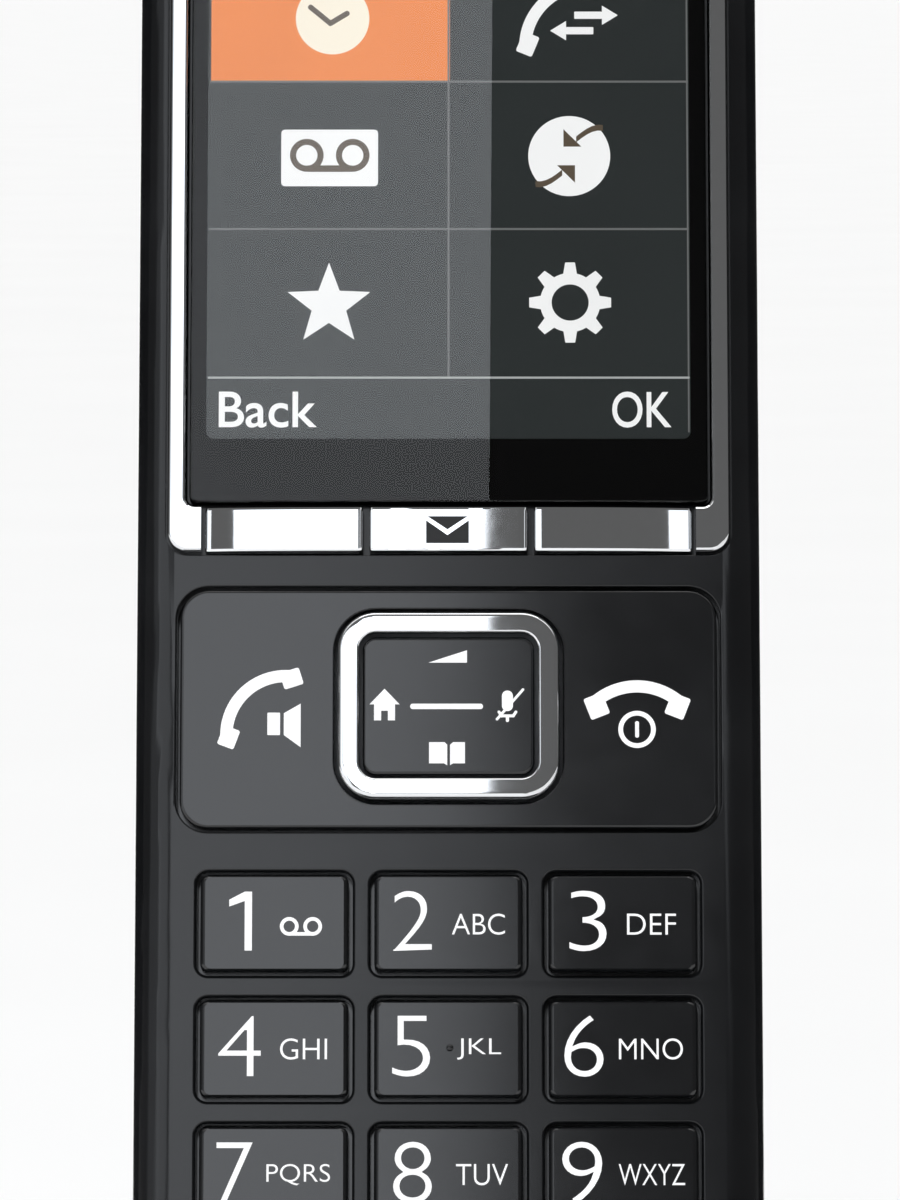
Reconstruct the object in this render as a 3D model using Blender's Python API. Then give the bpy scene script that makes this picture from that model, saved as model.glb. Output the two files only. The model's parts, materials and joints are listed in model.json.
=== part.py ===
"""A cordless telephone: a keypad handset that stands, leaning back, in the well of its charging base.

The handset is modelled upright in its own frame: X to the right, Z up its length, and its face
towards -Y, with the origin at the middle of its lower end on the line where its two casings meet.
An empty then leans that frame back in the base. The base stands on Z = 0, centred on the origin.
Sizes are in millimetres, and MM turns them into metres.
"""

import math

import bmesh
import bpy

MM = 0.001

# ---- Handset casing ----
HANDSET_LENGTH = 156.0
HANDSET_WIDTH = 48.5
FRONT_DEPTH = 9.0  # from the joint line to the face
END_RADIUS = 9.0
END_BULGE = 1.5  # how far each end bows out in the middle
FRONT_FILLET = 3.0
BACK_FILLET = 8.0
FRONT_WALL = 2.4
SIDE_WALL = 1.8
FOOT_THINNING = 7.0  # how much thinner the back is at the lower end than over the batteries
HEAD_THINNING = 6.0
JOINT_GAP = 0.3  # joint line between casings, and the least gap between pieces that touch
SLIDE_GAP = 0.3  # round a key in its opening
HAIRLINE = 0.2  # round a fixed piece in its recess

# ---- Battery bay, in the back casing ----
CELL_DIAMETER = 10.5
CELL_LENGTH = 44.5
CELL_SPACING = 0.7
CELL_PLAY = 0.35  # under and over the cells
CONTACT_ROOM = 3.0  # at each end of the cells
BAY_FLOOR = 1.4  # where the bay's tray starts behind the joint line
BAY_WALL = 1.4
COVER_THICKNESS = 2.0
COVER_LENGTH = 58.0
COVER_SIDE = 7.0  # from the cover's edge to the handset's side
COVER_TO_HEAD = 44.0  # from the cover's upper edge to the handset's upper end
LEDGE_WIDTH = 2.0  # what holds the cover reaches this far past its edge
LEDGE_THICKNESS = 1.5
TONGUE_WIDTH = 3.4
TONGUE_REACH = 1.9

# ---- Handset face ----
KEY_ROWS = (("star", "0", "hash"), ("7", "8", "9"), ("4", "5", "6"), ("1", "2", "3"))
LOWEST_ROW = 23.05
ROW_PITCH = 9.69
KEY_OPENING_HEIGHT = 8.0
KEY_MARGIN = 4.88  # from the outer keys' openings to the handset's side
KEY_RIB = 1.37
KEY_RADIUS = 0.9
KEY_RISE = 0.5
KEY_TRAVEL = 0.5
FLANGE_REACH = 0.75
FLANGE_THICKNESS = 0.6
ROCKER_MARGIN = 3.2  # from its opening to the handset's side
ROCKER_HEIGHT = 18.6
ROCKER_RADIUS = 2.2
ROCKER_CENTRE = 68.8
ROCKER_SWING = 0.5  # room that the rocker's ends need to tip
NAV_CENTRE = 69.0
NAV_WIDTH = 17.1
NAV_HEIGHT = 14.6
NAV_RADIUS = 2.95
NAV_BAND = 1.62  # how wide the chrome ring is
NAV_TILT_ROOM = 0.8
BEZEL_MARGIN = 2.425
BEZEL_BAND = 1.5
BEZEL_RADIUS = 1.6
BEZEL_BOTTOM = 81.1
BEZEL_TO_HEAD = 12.0
BEZEL_TOP_BAND = 1.9
BEZEL_RISE = 0.5
WINDOW_RECESS = 1.2
SOFTKEY_HEIGHT = 3.55
SOFTKEY_GAP = 0.5
SOFTKEY_END = 2.92  # from the outer soft keys to the bezel's outer edge
SOFTKEY_TRAVEL = 0.4
PANEL_SIDE = 0.75  # from the window's edge to the display panel
PANEL_BELOW = 3.0
PANEL_ABOVE = 2.6
EARPIECE_TO_HEAD = 7.2
EARPIECE_WIDTH = 14.0
EARPIECE_HEIGHT = 2.4
MICROPHONE_Z = 15.4

# ---- Inside the handset ----
MAT_THICKNESS = 0.8
BOARD_THICKNESS = 1.2
BOARD_SIDE = 4.2  # from the board's edge to the handset's side
BOARD_BOTTOM = 17.0
LOUDSPEAKER_RADIUS = 9.0
LOUDSPEAKER_TO_HEAD = 29.0
CASE_SCREW_X = 13.0
CASE_SCREW_Z = 12.0
PAD_X = 8.5
PAD_Y = -3.2
PAD_WIDTH = 5.0
PAD_LENGTH = 3.2

# ---- Base ----
BASE_WIDTH = 88.0
BASE_DEPTH = 96.0
BASE_CORNER = 20.0
BASE_FILLET = 6.0
BASE_WALL = 2.0
BASE_UNDERSIDE = 1.0
BASE_PLATE = 2.0
FRONT_EDGE_HEIGHT = 13.0
LIP_Y = -16.0
LIP_HEIGHT = 26.0
CREST_Y = 17.0
CREST_HEIGHT = 36.0
REAR_EDGE_HEIGHT = 21.0
LEAN = math.radians(15.0)
SEAT_Y = -6.0
SEAT_Z = 14.0
WELL_CLEARANCE = 0.7
WELL_WALL = 2.0
CONTACT_WIDTH = 2.4
CONTACT_DEPTH = 5.0
CONTACT_HEIGHT = 8.0
CONTACT_TRAVEL = 0.8
PAGE_KEY_WIDTH = 17.0
PAGE_KEY_HEIGHT = 7.0
PAGE_KEY_RISE = 1.0
PAGE_KEY_TRAVEL = 0.8
PAGE_KEY_FLANGE = 1.0  # how thick the flange is, and how far it reaches
SOCKET_X = 14.0
SOCKET_WIDTH = 13.0
SOCKET_HEIGHT = 8.6
SOCKET_DEPTH = 14.0
SOCKET_BOTTOM = 5.9
PLUG_HEIGHT = 6.0
LINE_PLUG_WIDTH = 9.8
POWER_PLUG_WIDTH = 7.6
PLUG_DEPTH = 11.0
FOOT_RADIUS = 5.0
FOOT_THICKNESS = 1.7
COLUMN_RADIUS = 3.2
COLUMN_Y = 2.0

# ---- What follows from them ----
BAY_DEPTH = CELL_DIAMETER + 2 * CELL_PLAY
COVER_SEAT = BAY_FLOOR + BAY_WALL + BAY_DEPTH + 0.7
BACK_DEPTH = COVER_SEAT + JOINT_GAP + COVER_THICKNESS
COVER_TOP = HANDSET_LENGTH - COVER_TO_HEAD
COVER_CENTRE = COVER_TOP - COVER_LENGTH / 2
COVER_WIDTH = HANDSET_WIDTH - 2 * COVER_SIDE
BAY_WIDTH = 2 * CELL_DIAMETER + CELL_SPACING + 2 * CELL_PLAY
BAY_LENGTH = CELL_LENGTH + 2 * CONTACT_ROOM
CELL_X = (CELL_DIAMETER + CELL_SPACING) / 2
CELL_Y = BAY_FLOOR + BAY_WALL + BAY_DEPTH / 2
FACE_Y = -FRONT_DEPTH
INNER_FACE_Y = FACE_Y + FRONT_WALL
KEY_OPENING_WIDTH = (HANDSET_WIDTH - 2 * KEY_MARGIN - 2 * KEY_RIB) / 3
COLUMN_PITCH = KEY_OPENING_WIDTH + KEY_RIB
ROCKER_WIDTH = HANDSET_WIDTH - 2 * ROCKER_MARGIN - 2 * SLIDE_GAP
BEZEL_WIDTH = HANDSET_WIDTH - 2 * BEZEL_MARGIN
BEZEL_TOP = HANDSET_LENGTH - BEZEL_TO_HEAD
BEZEL_CENTRE = (BEZEL_BOTTOM + BEZEL_TOP) / 2
BEZEL_LENGTH = BEZEL_TOP - BEZEL_BOTTOM
RECESS_Y = FACE_Y + WINDOW_RECESS
SOFTKEY_SPAN = BEZEL_WIDTH - 2 * SOFTKEY_END
SOFTKEY_WIDTH = (SOFTKEY_SPAN - 2 * SOFTKEY_GAP) / 3
SOFTKEY_CENTRE = BEZEL_BOTTOM + SOFTKEY_HEIGHT / 2
WINDOW_BOTTOM = BEZEL_BOTTOM + SOFTKEY_HEIGHT + 0.35
WINDOW_TOP = BEZEL_TOP - BEZEL_TOP_BAND
WINDOW_WIDTH = BEZEL_WIDTH - 2 * BEZEL_BAND - 2 * HAIRLINE
PANEL_WIDTH = WINDOW_WIDTH - 2 * PANEL_SIDE
PANEL_BOTTOM = WINDOW_BOTTOM + PANEL_BELOW
PANEL_TOP = WINDOW_TOP - PANEL_ABOVE
FLANGE_FRONT = INNER_FACE_Y + JOINT_GAP
FLANGE_BACK = FLANGE_FRONT + FLANGE_THICKNESS
ROCKER_FLANGE = INNER_FACE_Y + ROCKER_SWING + 0.1
MAT_FRONT = ROCKER_FLANGE + FLANGE_THICKNESS + ROCKER_SWING + 0.1
BOARD_FRONT = MAT_FRONT + MAT_THICKNESS + JOINT_GAP
EARPIECE_Z = HANDSET_LENGTH - EARPIECE_TO_HEAD
BOARD_TOP = EARPIECE_Z - 6.6
WELL_GROWTH = WELL_CLEARANCE + WELL_WALL
BASE_PLATE_TOP = BASE_UNDERSIDE + BASE_PLATE
BASE_BOARD_TOP = BASE_PLATE_TOP + 2.4
COLUMN_X = (HANDSET_WIDTH / 2 + WELL_GROWTH + BASE_WIDTH / 2 - BASE_WALL) / 2
SOCKET_Y = BASE_DEPTH / 2 - 0.4 - SOCKET_DEPTH / 2
FOOT_X = BASE_WIDTH / 2 - 13.0
FOOT_Y = BASE_DEPTH / 2 - 14.0
FRONT_SLOPE = (LIP_HEIGHT - FRONT_EDGE_HEIGHT) / (LIP_Y + BASE_DEPTH / 2)
PAGE_KEY_Y = (LIP_Y - BASE_DEPTH / 2) / 2 - 1.0


# ---- Outlines: points (a, b) mirrored about a = 0, from the near end round the right side ----
def mirrored(right):
    return right + [(-a, b) for a, b in reversed(right)]


def rounded_box(width, length, radius, corner_steps=3, side_steps=1, end_steps=1):
    """A rectangle with round corners, its long sides and its ends cut into equal steps."""
    radius = max(min(radius, width / 2 - 0.02, length / 2 - 0.02), 0.02)
    flat_a, flat_b = width / 2 - radius, length / 2 - radius
    end = [flat_a * (k - 0.5) / (end_steps - 0.5) for k in range(1, end_steps + 1)]
    turn = [math.radians(90) * k / corner_steps for k in range(1, corner_steps + 1)]
    right = [(a, -length / 2) for a in end]
    right += [(flat_a + radius * math.sin(t), -flat_b - radius * math.cos(t)) for t in turn]
    right += [(width / 2, -flat_b + 2 * flat_b * k / side_steps) for k in range(1, side_steps + 1)]
    right += [(flat_a + radius * math.cos(t), flat_b + radius * math.sin(t)) for t in turn]
    right += [(a, length / 2) for a in reversed(end[:-1])]
    return mirrored(right)


def circle(radius, steps=10):
    turn = [math.pi * ((k + 0.5) / steps - 0.5) for k in range(steps)]
    return mirrored([(radius * math.cos(t), radius * math.sin(t)) for t in turn])


def box_outline(width, length, radius=0.02, **steps):
    """An outline function, which gives the rounded box for any inset."""
    return lambda inset: rounded_box(width - 2 * inset, length - 2 * inset, radius - inset, **steps)


def round_outline(radius, steps=10):
    return lambda inset: circle(radius - inset, steps)


# ---- Objects ----
def clear_scene():
    for obj in list(bpy.data.objects):
        bpy.data.objects.remove(obj)


def material(name, colour, roughness, metallic=0.0):
    found = bpy.data.materials.get(name)
    if found:
        return found
    made = bpy.data.materials.new(name)
    made.use_nodes = True
    shader = made.node_tree.nodes["Principled BSDF"]
    shader.inputs["Base Color"].default_value = (*colour, 1.0)
    shader.inputs["Roughness"].default_value = roughness
    shader.inputs["Metallic"].default_value = metallic
    return made


def casing_black():
    return material("casing_black", (0.020, 0.021, 0.023), 0.42)


def key_black():
    return material("key_black", (0.024, 0.025, 0.028), 0.36)


def chrome():
    return material("chrome", (0.85, 0.86, 0.88), 0.08, 1.0)


def window_black():
    return material("window_black", (0.004, 0.004, 0.005), 0.04)


def panel_grey():
    return material("panel_grey", (0.10, 0.11, 0.12), 0.5)


def silicone():
    return material("silicone", (0.55, 0.56, 0.58), 0.6)


def circuit_board():
    return material("circuit_board", (0.02, 0.16, 0.07), 0.5)


def spring_metal():
    return material("spring_metal", (0.72, 0.68, 0.55), 0.3, 1.0)


def screw_steel():
    return material("screw_steel", (0.35, 0.35, 0.37), 0.35, 1.0)


def cell_wrap():
    return material("cell_wrap", (0.12, 0.36, 0.16), 0.4)


def foot_rubber():
    return material("foot_rubber", (0.03, 0.03, 0.03), 0.9)


def frame_empty(name, location, lean):
    """An empty that places a local frame: its children are modelled in that frame's own axes."""
    made = bpy.data.objects.new(name, None)
    bpy.context.scene.collection.objects.link(made)
    made.location = [value * MM for value in location]
    made.rotation_euler = (lean, 0.0, 0.0)
    return made


def mesh_object(name, points, faces, finish=None, parent=None):
    """A closed mesh with its faces turned out. One with no finish is a helper and not part of the phone."""
    mesh = bpy.data.meshes.new(name)
    mesh.from_pydata([[value * MM for value in point] for point in points], [], faces)
    work = bmesh.new()
    work.from_mesh(mesh)
    bmesh.ops.triangulate(work, faces=work.faces)
    bmesh.ops.recalc_face_normals(work, faces=work.faces)
    work.to_mesh(mesh)
    work.free()
    mesh.shade_smooth()
    mesh.set_sharp_from_angle(angle=math.radians(35))
    made = bpy.data.objects.new(name, mesh)
    bpy.context.scene.collection.objects.link(made)
    made.parent = parent
    if finish:
        mesh.materials.append(finish)
    else:
        made.hide_render = True
        made.display_type = "WIRE"
    return made


def stack(name, outline, profile, plane="face", centres=((0.0, 0.0),), warp=None, finish=None, parent=None):
    """A solid whose outline changes along its depth. The profile is a list of (depth, inset) steps.

    On plane "face" the outline lies in X and Z and the depth runs along Y; on plane "floor" the outline
    lies in X and Y and the depth runs along Z. A depth can be a function of the outline's two coordinates.
    """
    points, faces = [], []
    for centre_a, centre_b in centres:
        first = len(points)
        for depth, inset in profile:
            for a, b in outline(inset):
                here = depth(a + centre_a, b + centre_b) if callable(depth) else depth
                if plane == "face":
                    points.append((centre_a + a, here, centre_b + b))
                else:
                    points.append((centre_a + a, centre_b + b, here))
        count = (len(points) - first) // len(profile)
        for level in range(len(profile) - 1):
            low, high = first + level * count, first + (level + 1) * count
            for k in range(count):
                after = (k + 1) % count
                faces.append((low + k, low + after, high + after, high + k))
        for cap in (first, len(points) - count):
            for k in range(count // 2 - 1):
                faces.append((cap + k, cap + k + 1, cap + count - 2 - k, cap + count - 1 - k))
    if warp:
        points = [warp(*point) for point in points]
    return mesh_object(name, points, faces, finish, parent)


def block(name, x_range, y_range, z_range, finish=None, parent=None):
    points = [(x, y, z) for z in z_range for y in y_range for x in x_range]
    faces = [(0, 1, 3, 2), (4, 5, 7, 6), (0, 1, 5, 4), (2, 3, 7, 6), (0, 2, 6, 4), (1, 3, 7, 5)]
    return mesh_object(name, points, faces, finish, parent)


def strip(name, profile, x_ranges, finish=None, parent=None):
    """A polygon in Y and Z, extruded along X once for each range."""
    points, faces = [], []
    count = len(profile)
    for x_range in x_ranges:
        first = len(points)
        points += [(x, y, z) for x in x_range for y, z in profile]
        faces += [tuple(range(first, first + count)), tuple(range(first + count, first + 2 * count))]
        for k in range(count):
            after = (k + 1) % count
            faces.append((first + k, first + after, first + count + after, first + count + k))
    return mesh_object(name, points, faces, finish, parent)


def boolean(target, operation, other):
    change = target.modifiers.new(other.name, "BOOLEAN")
    change.operation = operation
    change.solver = "EXACT"
    change.object = other


def cut(target, *cutters):
    for cutter in cutters:
        boolean(target, "DIFFERENCE", cutter)


def join(target, *others):
    for other in others:
        boolean(target, "UNION", other)


def mend(made):
    """Gives back a face that the Boolean modifiers lose where two cutters almost touch at some sizes.

    A piece that comes out closed, as every one does at the sizes above, keeps its modifiers.
    """
    seen = made.evaluated_get(bpy.context.evaluated_depsgraph_get())
    work = bmesh.new()
    work.from_mesh(seen.data)
    bmesh.ops.remove_doubles(work, verts=work.verts, dist=0.001 * MM)
    loose = [edge for edge in work.edges if edge.is_boundary]
    if loose:
        bmesh.ops.holes_fill(work, edges=loose, sides=8)
        bmesh.ops.triangulate(work, faces=work.faces)
        bmesh.ops.recalc_face_normals(work, faces=work.faces)
        mesh = bpy.data.meshes.new_from_object(seen)
        work.to_mesh(mesh)
        made.modifiers.clear()
        made.data = mesh
    work.free()


# ---- The handset's form, which both casings, the battery cover and the base's well share ----
def smooth_step(value):
    value = min(max(value, 0.0), 1.0)
    return value * value * (3 - 2 * value)


def back_depth(z):
    """How far the back stands behind the joint line at this height, at its fullest over the batteries."""
    foot = 1 - smooth_step(z / (COVER_CENTRE - COVER_LENGTH / 2 + 6))
    head = smooth_step((z - COVER_TOP + 7) / (HANDSET_LENGTH - COVER_TOP + 7))
    return BACK_DEPTH - FOOT_THINNING * foot - HEAD_THINNING * head


def fillet(radius, steps, edge, direction):
    """(depth, inset) steps round an edge, from the flat face at the depth edge to the side."""
    turn = [math.radians(90) * k / steps for k in range(steps + 1)]
    return [(edge + direction * radius * (1 - math.cos(t)), radius * (1 - math.sin(t))) for t in turn]


def handset_form(name, side=0.0, front=0.0, steps=3, parent=None, finish=None):
    """The handset's closed outer form, grown by side all round and by front on its face."""
    length = HANDSET_LENGTH - 2 * END_BULGE + 2 * side
    width = HANDSET_WIDTH + 2 * side
    deepest = BACK_DEPTH + side
    outline = box_outline(width, length, END_RADIUS + side, corner_steps=5, side_steps=12, end_steps=2)
    faceward = fillet(max(FRONT_FILLET + side, 0.6), steps, -(FRONT_DEPTH + front), 1)
    backward = fillet(max(BACK_FILLET + side, 1.0), steps + 1, deepest, -1)

    def warp(x, y, z):
        bow = 1 - (2 * x / width) ** 2
        z = HANDSET_LENGTH / 2 + z + math.copysign(END_BULGE * bow * abs(2 * z / length) ** 6, z)
        if y > 0:
            y *= (back_depth(z) + side) / deepest
        return x, y, z

    profile = faceward + list(reversed(backward))
    return stack(name, outline, profile, warp=warp, parent=parent, finish=finish)


def key_centres():
    """(name, x, z) of the twelve keys, row by row from the lowest."""
    for row, names in enumerate(KEY_ROWS):
        for column, name in enumerate(names):
            yield name, (column - 1) * COLUMN_PITCH, LOWEST_ROW + row * ROW_PITCH


def softkey_centres():
    pitch = SOFTKEY_WIDTH + SOFTKEY_GAP
    for column, name in enumerate(("softkey_left", "message_key", "softkey_right")):
        yield name, (column - 1) * pitch, SOFTKEY_CENTRE


# ---- Handset casings ----
def front_shell(handset, cavity):
    shell = handset_form("front_shell", parent=handset, finish=casing_black())
    wide, beyond = HANDSET_WIDTH, HANDSET_LENGTH + 20
    through = [(FACE_Y - 4, 0), (INNER_FACE_Y + 1.5, 0)]
    far = 3 * BACK_DEPTH
    back_half = block("cut_back_half", (-wide, wide), (-JOINT_GAP / 2, far), (-20, beyond), parent=handset)
    recess = stack(
        "cut_bezel_recess",
        box_outline(BEZEL_WIDTH + 2 * HAIRLINE, BEZEL_LENGTH + 2 * HAIRLINE, BEZEL_RADIUS + HAIRLINE),
        [(FACE_Y - 4, 0), (RECESS_Y, 0)],
        centres=[(0, BEZEL_CENTRE)],
        parent=handset,
    )
    panel = stack(
        "cut_panel_opening",
        box_outline(PANEL_WIDTH + 2 * JOINT_GAP, PANEL_TOP - PANEL_BOTTOM + 2 * JOINT_GAP, 0.5),
        through,
        centres=[(0, (PANEL_TOP + PANEL_BOTTOM) / 2)],
        parent=handset,
    )
    stem = SOFTKEY_HEIGHT / 4 - SLIDE_GAP
    stems = stack(
        "cut_softkey_stems",
        box_outline(SOFTKEY_WIDTH - 2 * stem, SOFTKEY_HEIGHT - 2 * stem, 0.4),
        through,
        centres=[(x, z) for _, x, z in softkey_centres()],
        parent=handset,
    )
    rocker = stack(
        "cut_rocker_opening",
        box_outline(ROCKER_WIDTH + 2 * SLIDE_GAP, ROCKER_HEIGHT + 2 * SLIDE_GAP, ROCKER_RADIUS + SLIDE_GAP),
        through,
        centres=[(0, ROCKER_CENTRE)],
        parent=handset,
    )
    keys = stack(
        "cut_key_openings",
        box_outline(KEY_OPENING_WIDTH, KEY_OPENING_HEIGHT, KEY_RADIUS),
        through,
        centres=[(x, z) for _, x, z in key_centres()],
        parent=handset,
    )
    earpiece = stack(
        "cut_earpiece_slot",
        box_outline(EARPIECE_WIDTH + 2 * JOINT_GAP, EARPIECE_HEIGHT + 2 * JOINT_GAP, EARPIECE_HEIGHT),
        through,
        centres=[(0, EARPIECE_Z)],
        parent=handset,
    )
    microphone = stack(
        "cut_microphone_slot",
        box_outline(2.4, 0.9, 0.45),
        through,
        centres=[(0, MICROPHONE_Z)],
        parent=handset,
    )
    pads = stack(
        "cut_pad_pockets",
        box_outline(PAD_WIDTH + 2 * JOINT_GAP, PAD_LENGTH + 2 * JOINT_GAP, 0.5),
        [(-3, 0), (SIDE_WALL - 0.4, 0)],
        plane="floor",
        centres=[(x, PAD_Y) for x in (-PAD_X, PAD_X)],
        parent=handset,
    )
    bosses = stack(
        "front_bosses",
        round_outline(2.7, 6),
        [(INNER_FACE_Y - 0.6, 0), (-JOINT_GAP, 0)],
        centres=case_screw_centres(),
        parent=handset,
    )
    threads = stack(
        "cut_front_threads",
        round_outline(1.5, 5),
        [(INNER_FACE_Y + 1.2, 0), (2, 0)],
        centres=case_screw_centres(),
        parent=handset,
    )
    cut(shell, cavity, back_half)
    join(shell, bosses)
    cut(shell, threads, recess, panel, stems, rocker, keys, earpiece, microphone, pads)


def case_screw_centres():
    return [(x, CASE_SCREW_Z) for x in (-CASE_SCREW_X, CASE_SCREW_X)]


def back_shell(handset, cavity):
    shell = handset_form("back_shell", parent=handset, finish=casing_black())
    wide, beyond = HANDSET_WIDTH, HANDSET_LENGTH + 20
    ledge_front = COVER_SEAT - LEDGE_THICKNESS
    far = 3 * BACK_DEPTH
    front_half = block("cut_front_half", (-wide, wide), (-far, JOINT_GAP / 2), (-20, beyond), parent=handset)
    ledge = stack(
        "cover_ledge",
        box_outline(COVER_WIDTH + 2 * LEDGE_WIDTH, COVER_LENGTH + 3 * LEDGE_WIDTH, 3),
        [(ledge_front, 0), (COVER_SEAT + 0.5, 0)],
        centres=[(0, COVER_CENTRE)],
        parent=handset,
    )
    tray = stack(
        "bay_tray",
        box_outline(BAY_WIDTH + 2 * BAY_WALL, BAY_LENGTH + 2 * BAY_WALL, 1),
        [(BAY_FLOOR, 0), (ledge_front + 0.7, 0)],
        centres=[(0, COVER_CENTRE)],
        parent=handset,
    )
    bosses = stack(
        "back_bosses",
        round_outline(3.2, 7),
        [(JOINT_GAP, 0), (back_depth(CASE_SCREW_Z) - 0.9, 0)],
        centres=case_screw_centres(),
        parent=handset,
    )
    opening = stack(
        "cut_cover_opening",
        box_outline(COVER_WIDTH + 2 * JOINT_GAP, COVER_LENGTH + 2 * JOINT_GAP, 2 + JOINT_GAP),
        [(COVER_SEAT, 0), (far, 0)],
        centres=[(0, COVER_CENTRE)],
        parent=handset,
    )
    bay = stack(
        "cut_battery_bay",
        box_outline(BAY_WIDTH, BAY_LENGTH, 0.6),
        [(BAY_FLOOR + BAY_WALL, 0), (far, 0)],
        centres=[(0, COVER_CENTRE)],
        parent=handset,
    )
    channel_top = COVER_TOP + TONGUE_REACH + 0.6
    channel_bottom = COVER_CENTRE + BAY_LENGTH / 2 - 0.5
    channels = stack(
        "cut_tongue_channels",
        box_outline(TONGUE_WIDTH + 2 * JOINT_GAP, channel_top - channel_bottom, 0.1),
        [(ledge_front - 0.4, 0), (COVER_SEAT, 0)],
        centres=[(x, (channel_top + channel_bottom) / 2) for x in tongue_centres()],
        parent=handset,
    )
    sound_slots = stack(
        "cut_sound_slots",
        box_outline(12, 1.3, 0.6),
        [(BAY_FLOOR, 0), (far, 0)],
        centres=[(0, HANDSET_LENGTH - LOUDSPEAKER_TO_HEAD + 3 * k) for k in range(-2, 3)],
        parent=handset,
    )
    head_recesses = stack(
        "cut_screw_heads",
        round_outline(2.5, 7),
        [(screw_head_front(), 0), (far, 0)],
        centres=case_screw_centres(),
        parent=handset,
    )
    shank_holes = stack(
        "cut_screw_shanks",
        round_outline(1.5, 5),
        [(-2, 0), (far, 0)],
        centres=case_screw_centres(),
        parent=handset,
    )
    cut(shell, cavity, front_half)
    join(shell, ledge, tray, bosses)
    cut(shell, opening, bay, channels, sound_slots, head_recesses, shank_holes)


def screw_head_front():
    return back_depth(CASE_SCREW_Z) - 3.4


def tongue_centres():
    return (-BAY_WIDTH / 3, BAY_WIDTH / 3)


def battery_cover(handset):
    """The cover hooks two tongues under the casing at its upper edge and swings out at its lower edge."""
    inner = COVER_SEAT + JOINT_GAP
    cover = stack(
        "battery_cover",
        box_outline(COVER_WIDTH, COVER_LENGTH, 2, side_steps=6),
        [(inner, 0), (2 * BACK_DEPTH, 0)],
        centres=[(0, COVER_CENTRE)],
        finish=casing_black(),
        parent=handset,
    )
    form = handset_form("keep_within_form", parent=handset)
    tongue_front = COVER_SEAT - LEDGE_THICKNESS + 0.25
    tip, root = COVER_TOP + TONGUE_REACH, COVER_CENTRE + BAY_LENGTH / 2 + 0.4
    hook = [
        (tongue_front, tip),
        (tongue_front + 1.0, tip),
        (tongue_front + 1.0, COVER_TOP - 0.4),
        (inner + 0.8, COVER_TOP - 0.4),
        (inner + 0.8, root),
        (tongue_front, root),
    ]
    half = TONGUE_WIDTH / 2
    tongues = strip("cover_tongues", hook, [(x - half, x + half) for x in tongue_centres()], parent=handset)
    latch = block(
        "cover_latch",
        (-4, 4),
        (inner - 2.4, inner + 0.8),
        (COVER_CENTRE - BAY_LENGTH / 2 + 0.4, COVER_CENTRE - BAY_LENGTH / 2 + 1.5),
        parent=handset,
    )
    nail_notch = stack(
        "cut_nail_notch",
        round_outline(4.0, 8),
        [(BACK_DEPTH - 0.9, 0), (2 * BACK_DEPTH, 0)],
        centres=[(0, COVER_CENTRE - COVER_LENGTH / 2 - 1.4)],
        parent=handset,
    )
    boolean(cover, "INTERSECT", form)
    join(cover, tongues, latch)
    cut(cover, nail_notch)


# ---- Handset face ----
def display(handset):
    bezel = stack(
        "display_bezel",
        box_outline(BEZEL_WIDTH, BEZEL_LENGTH, BEZEL_RADIUS),
        [(FACE_Y - BEZEL_RISE, 0.35), (FACE_Y - BEZEL_RISE + 0.25, 0.05), (RECESS_Y - 0.15, 0)],
        centres=[(0, BEZEL_CENTRE)],
        finish=chrome(),
        parent=handset,
    )
    centre, length = (WINDOW_BOTTOM + WINDOW_TOP) / 2, WINDOW_TOP - WINDOW_BOTTOM
    opening = stack(
        "cut_window_opening",
        box_outline(WINDOW_WIDTH + 2 * HAIRLINE, length + 2 * HAIRLINE, 0.6),
        [(FACE_Y - 4, 0), (RECESS_Y + 2, 0)],
        centres=[(0, centre)],
        parent=handset,
    )
    notch = block(
        "cut_softkey_notch",
        (-SOFTKEY_SPAN / 2 - SLIDE_GAP, SOFTKEY_SPAN / 2 + SLIDE_GAP),
        (FACE_Y - 4, RECESS_Y + 2),
        (BEZEL_BOTTOM - 3, WINDOW_BOTTOM + 0.5),
        parent=handset,
    )
    cut(bezel, opening, notch)
    stack(
        "display_window",
        box_outline(WINDOW_WIDTH, length, 0.5),
        [(FACE_Y - 0.25, 0.15), (FACE_Y - 0.1, 0), (RECESS_Y - 0.2, 0)],
        centres=[(0, centre)],
        finish=window_black(),
        parent=handset,
    )
    stack(
        "display_panel",
        box_outline(PANEL_WIDTH, PANEL_TOP - PANEL_BOTTOM, 0.5),
        [(RECESS_Y + 0.1, 0), (BOARD_FRONT - JOINT_GAP, 0)],
        centres=[(0, (PANEL_TOP + PANEL_BOTTOM) / 2)],
        finish=panel_grey(),
        parent=handset,
    )


def soft_keys(handset):
    """Three bars in the foot of the bezel, each with a stem through the casing."""
    cap_back = RECESS_Y - SOFTKEY_TRAVEL - 0.15
    stem = SOFTKEY_HEIGHT / 4
    for name, x, z in softkey_centres():
        stack(
            name,
            box_outline(SOFTKEY_WIDTH, SOFTKEY_HEIGHT, 0.3),
            [
                (FACE_Y - BEZEL_RISE, 0.25),
                (FACE_Y - BEZEL_RISE + 0.25, 0),
                (cap_back, 0),
                (cap_back, stem),
                (INNER_FACE_Y + 0.6, stem),
            ],
            centres=[(x, z)],
            finish=chrome(),
            parent=handset,
        )


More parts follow.
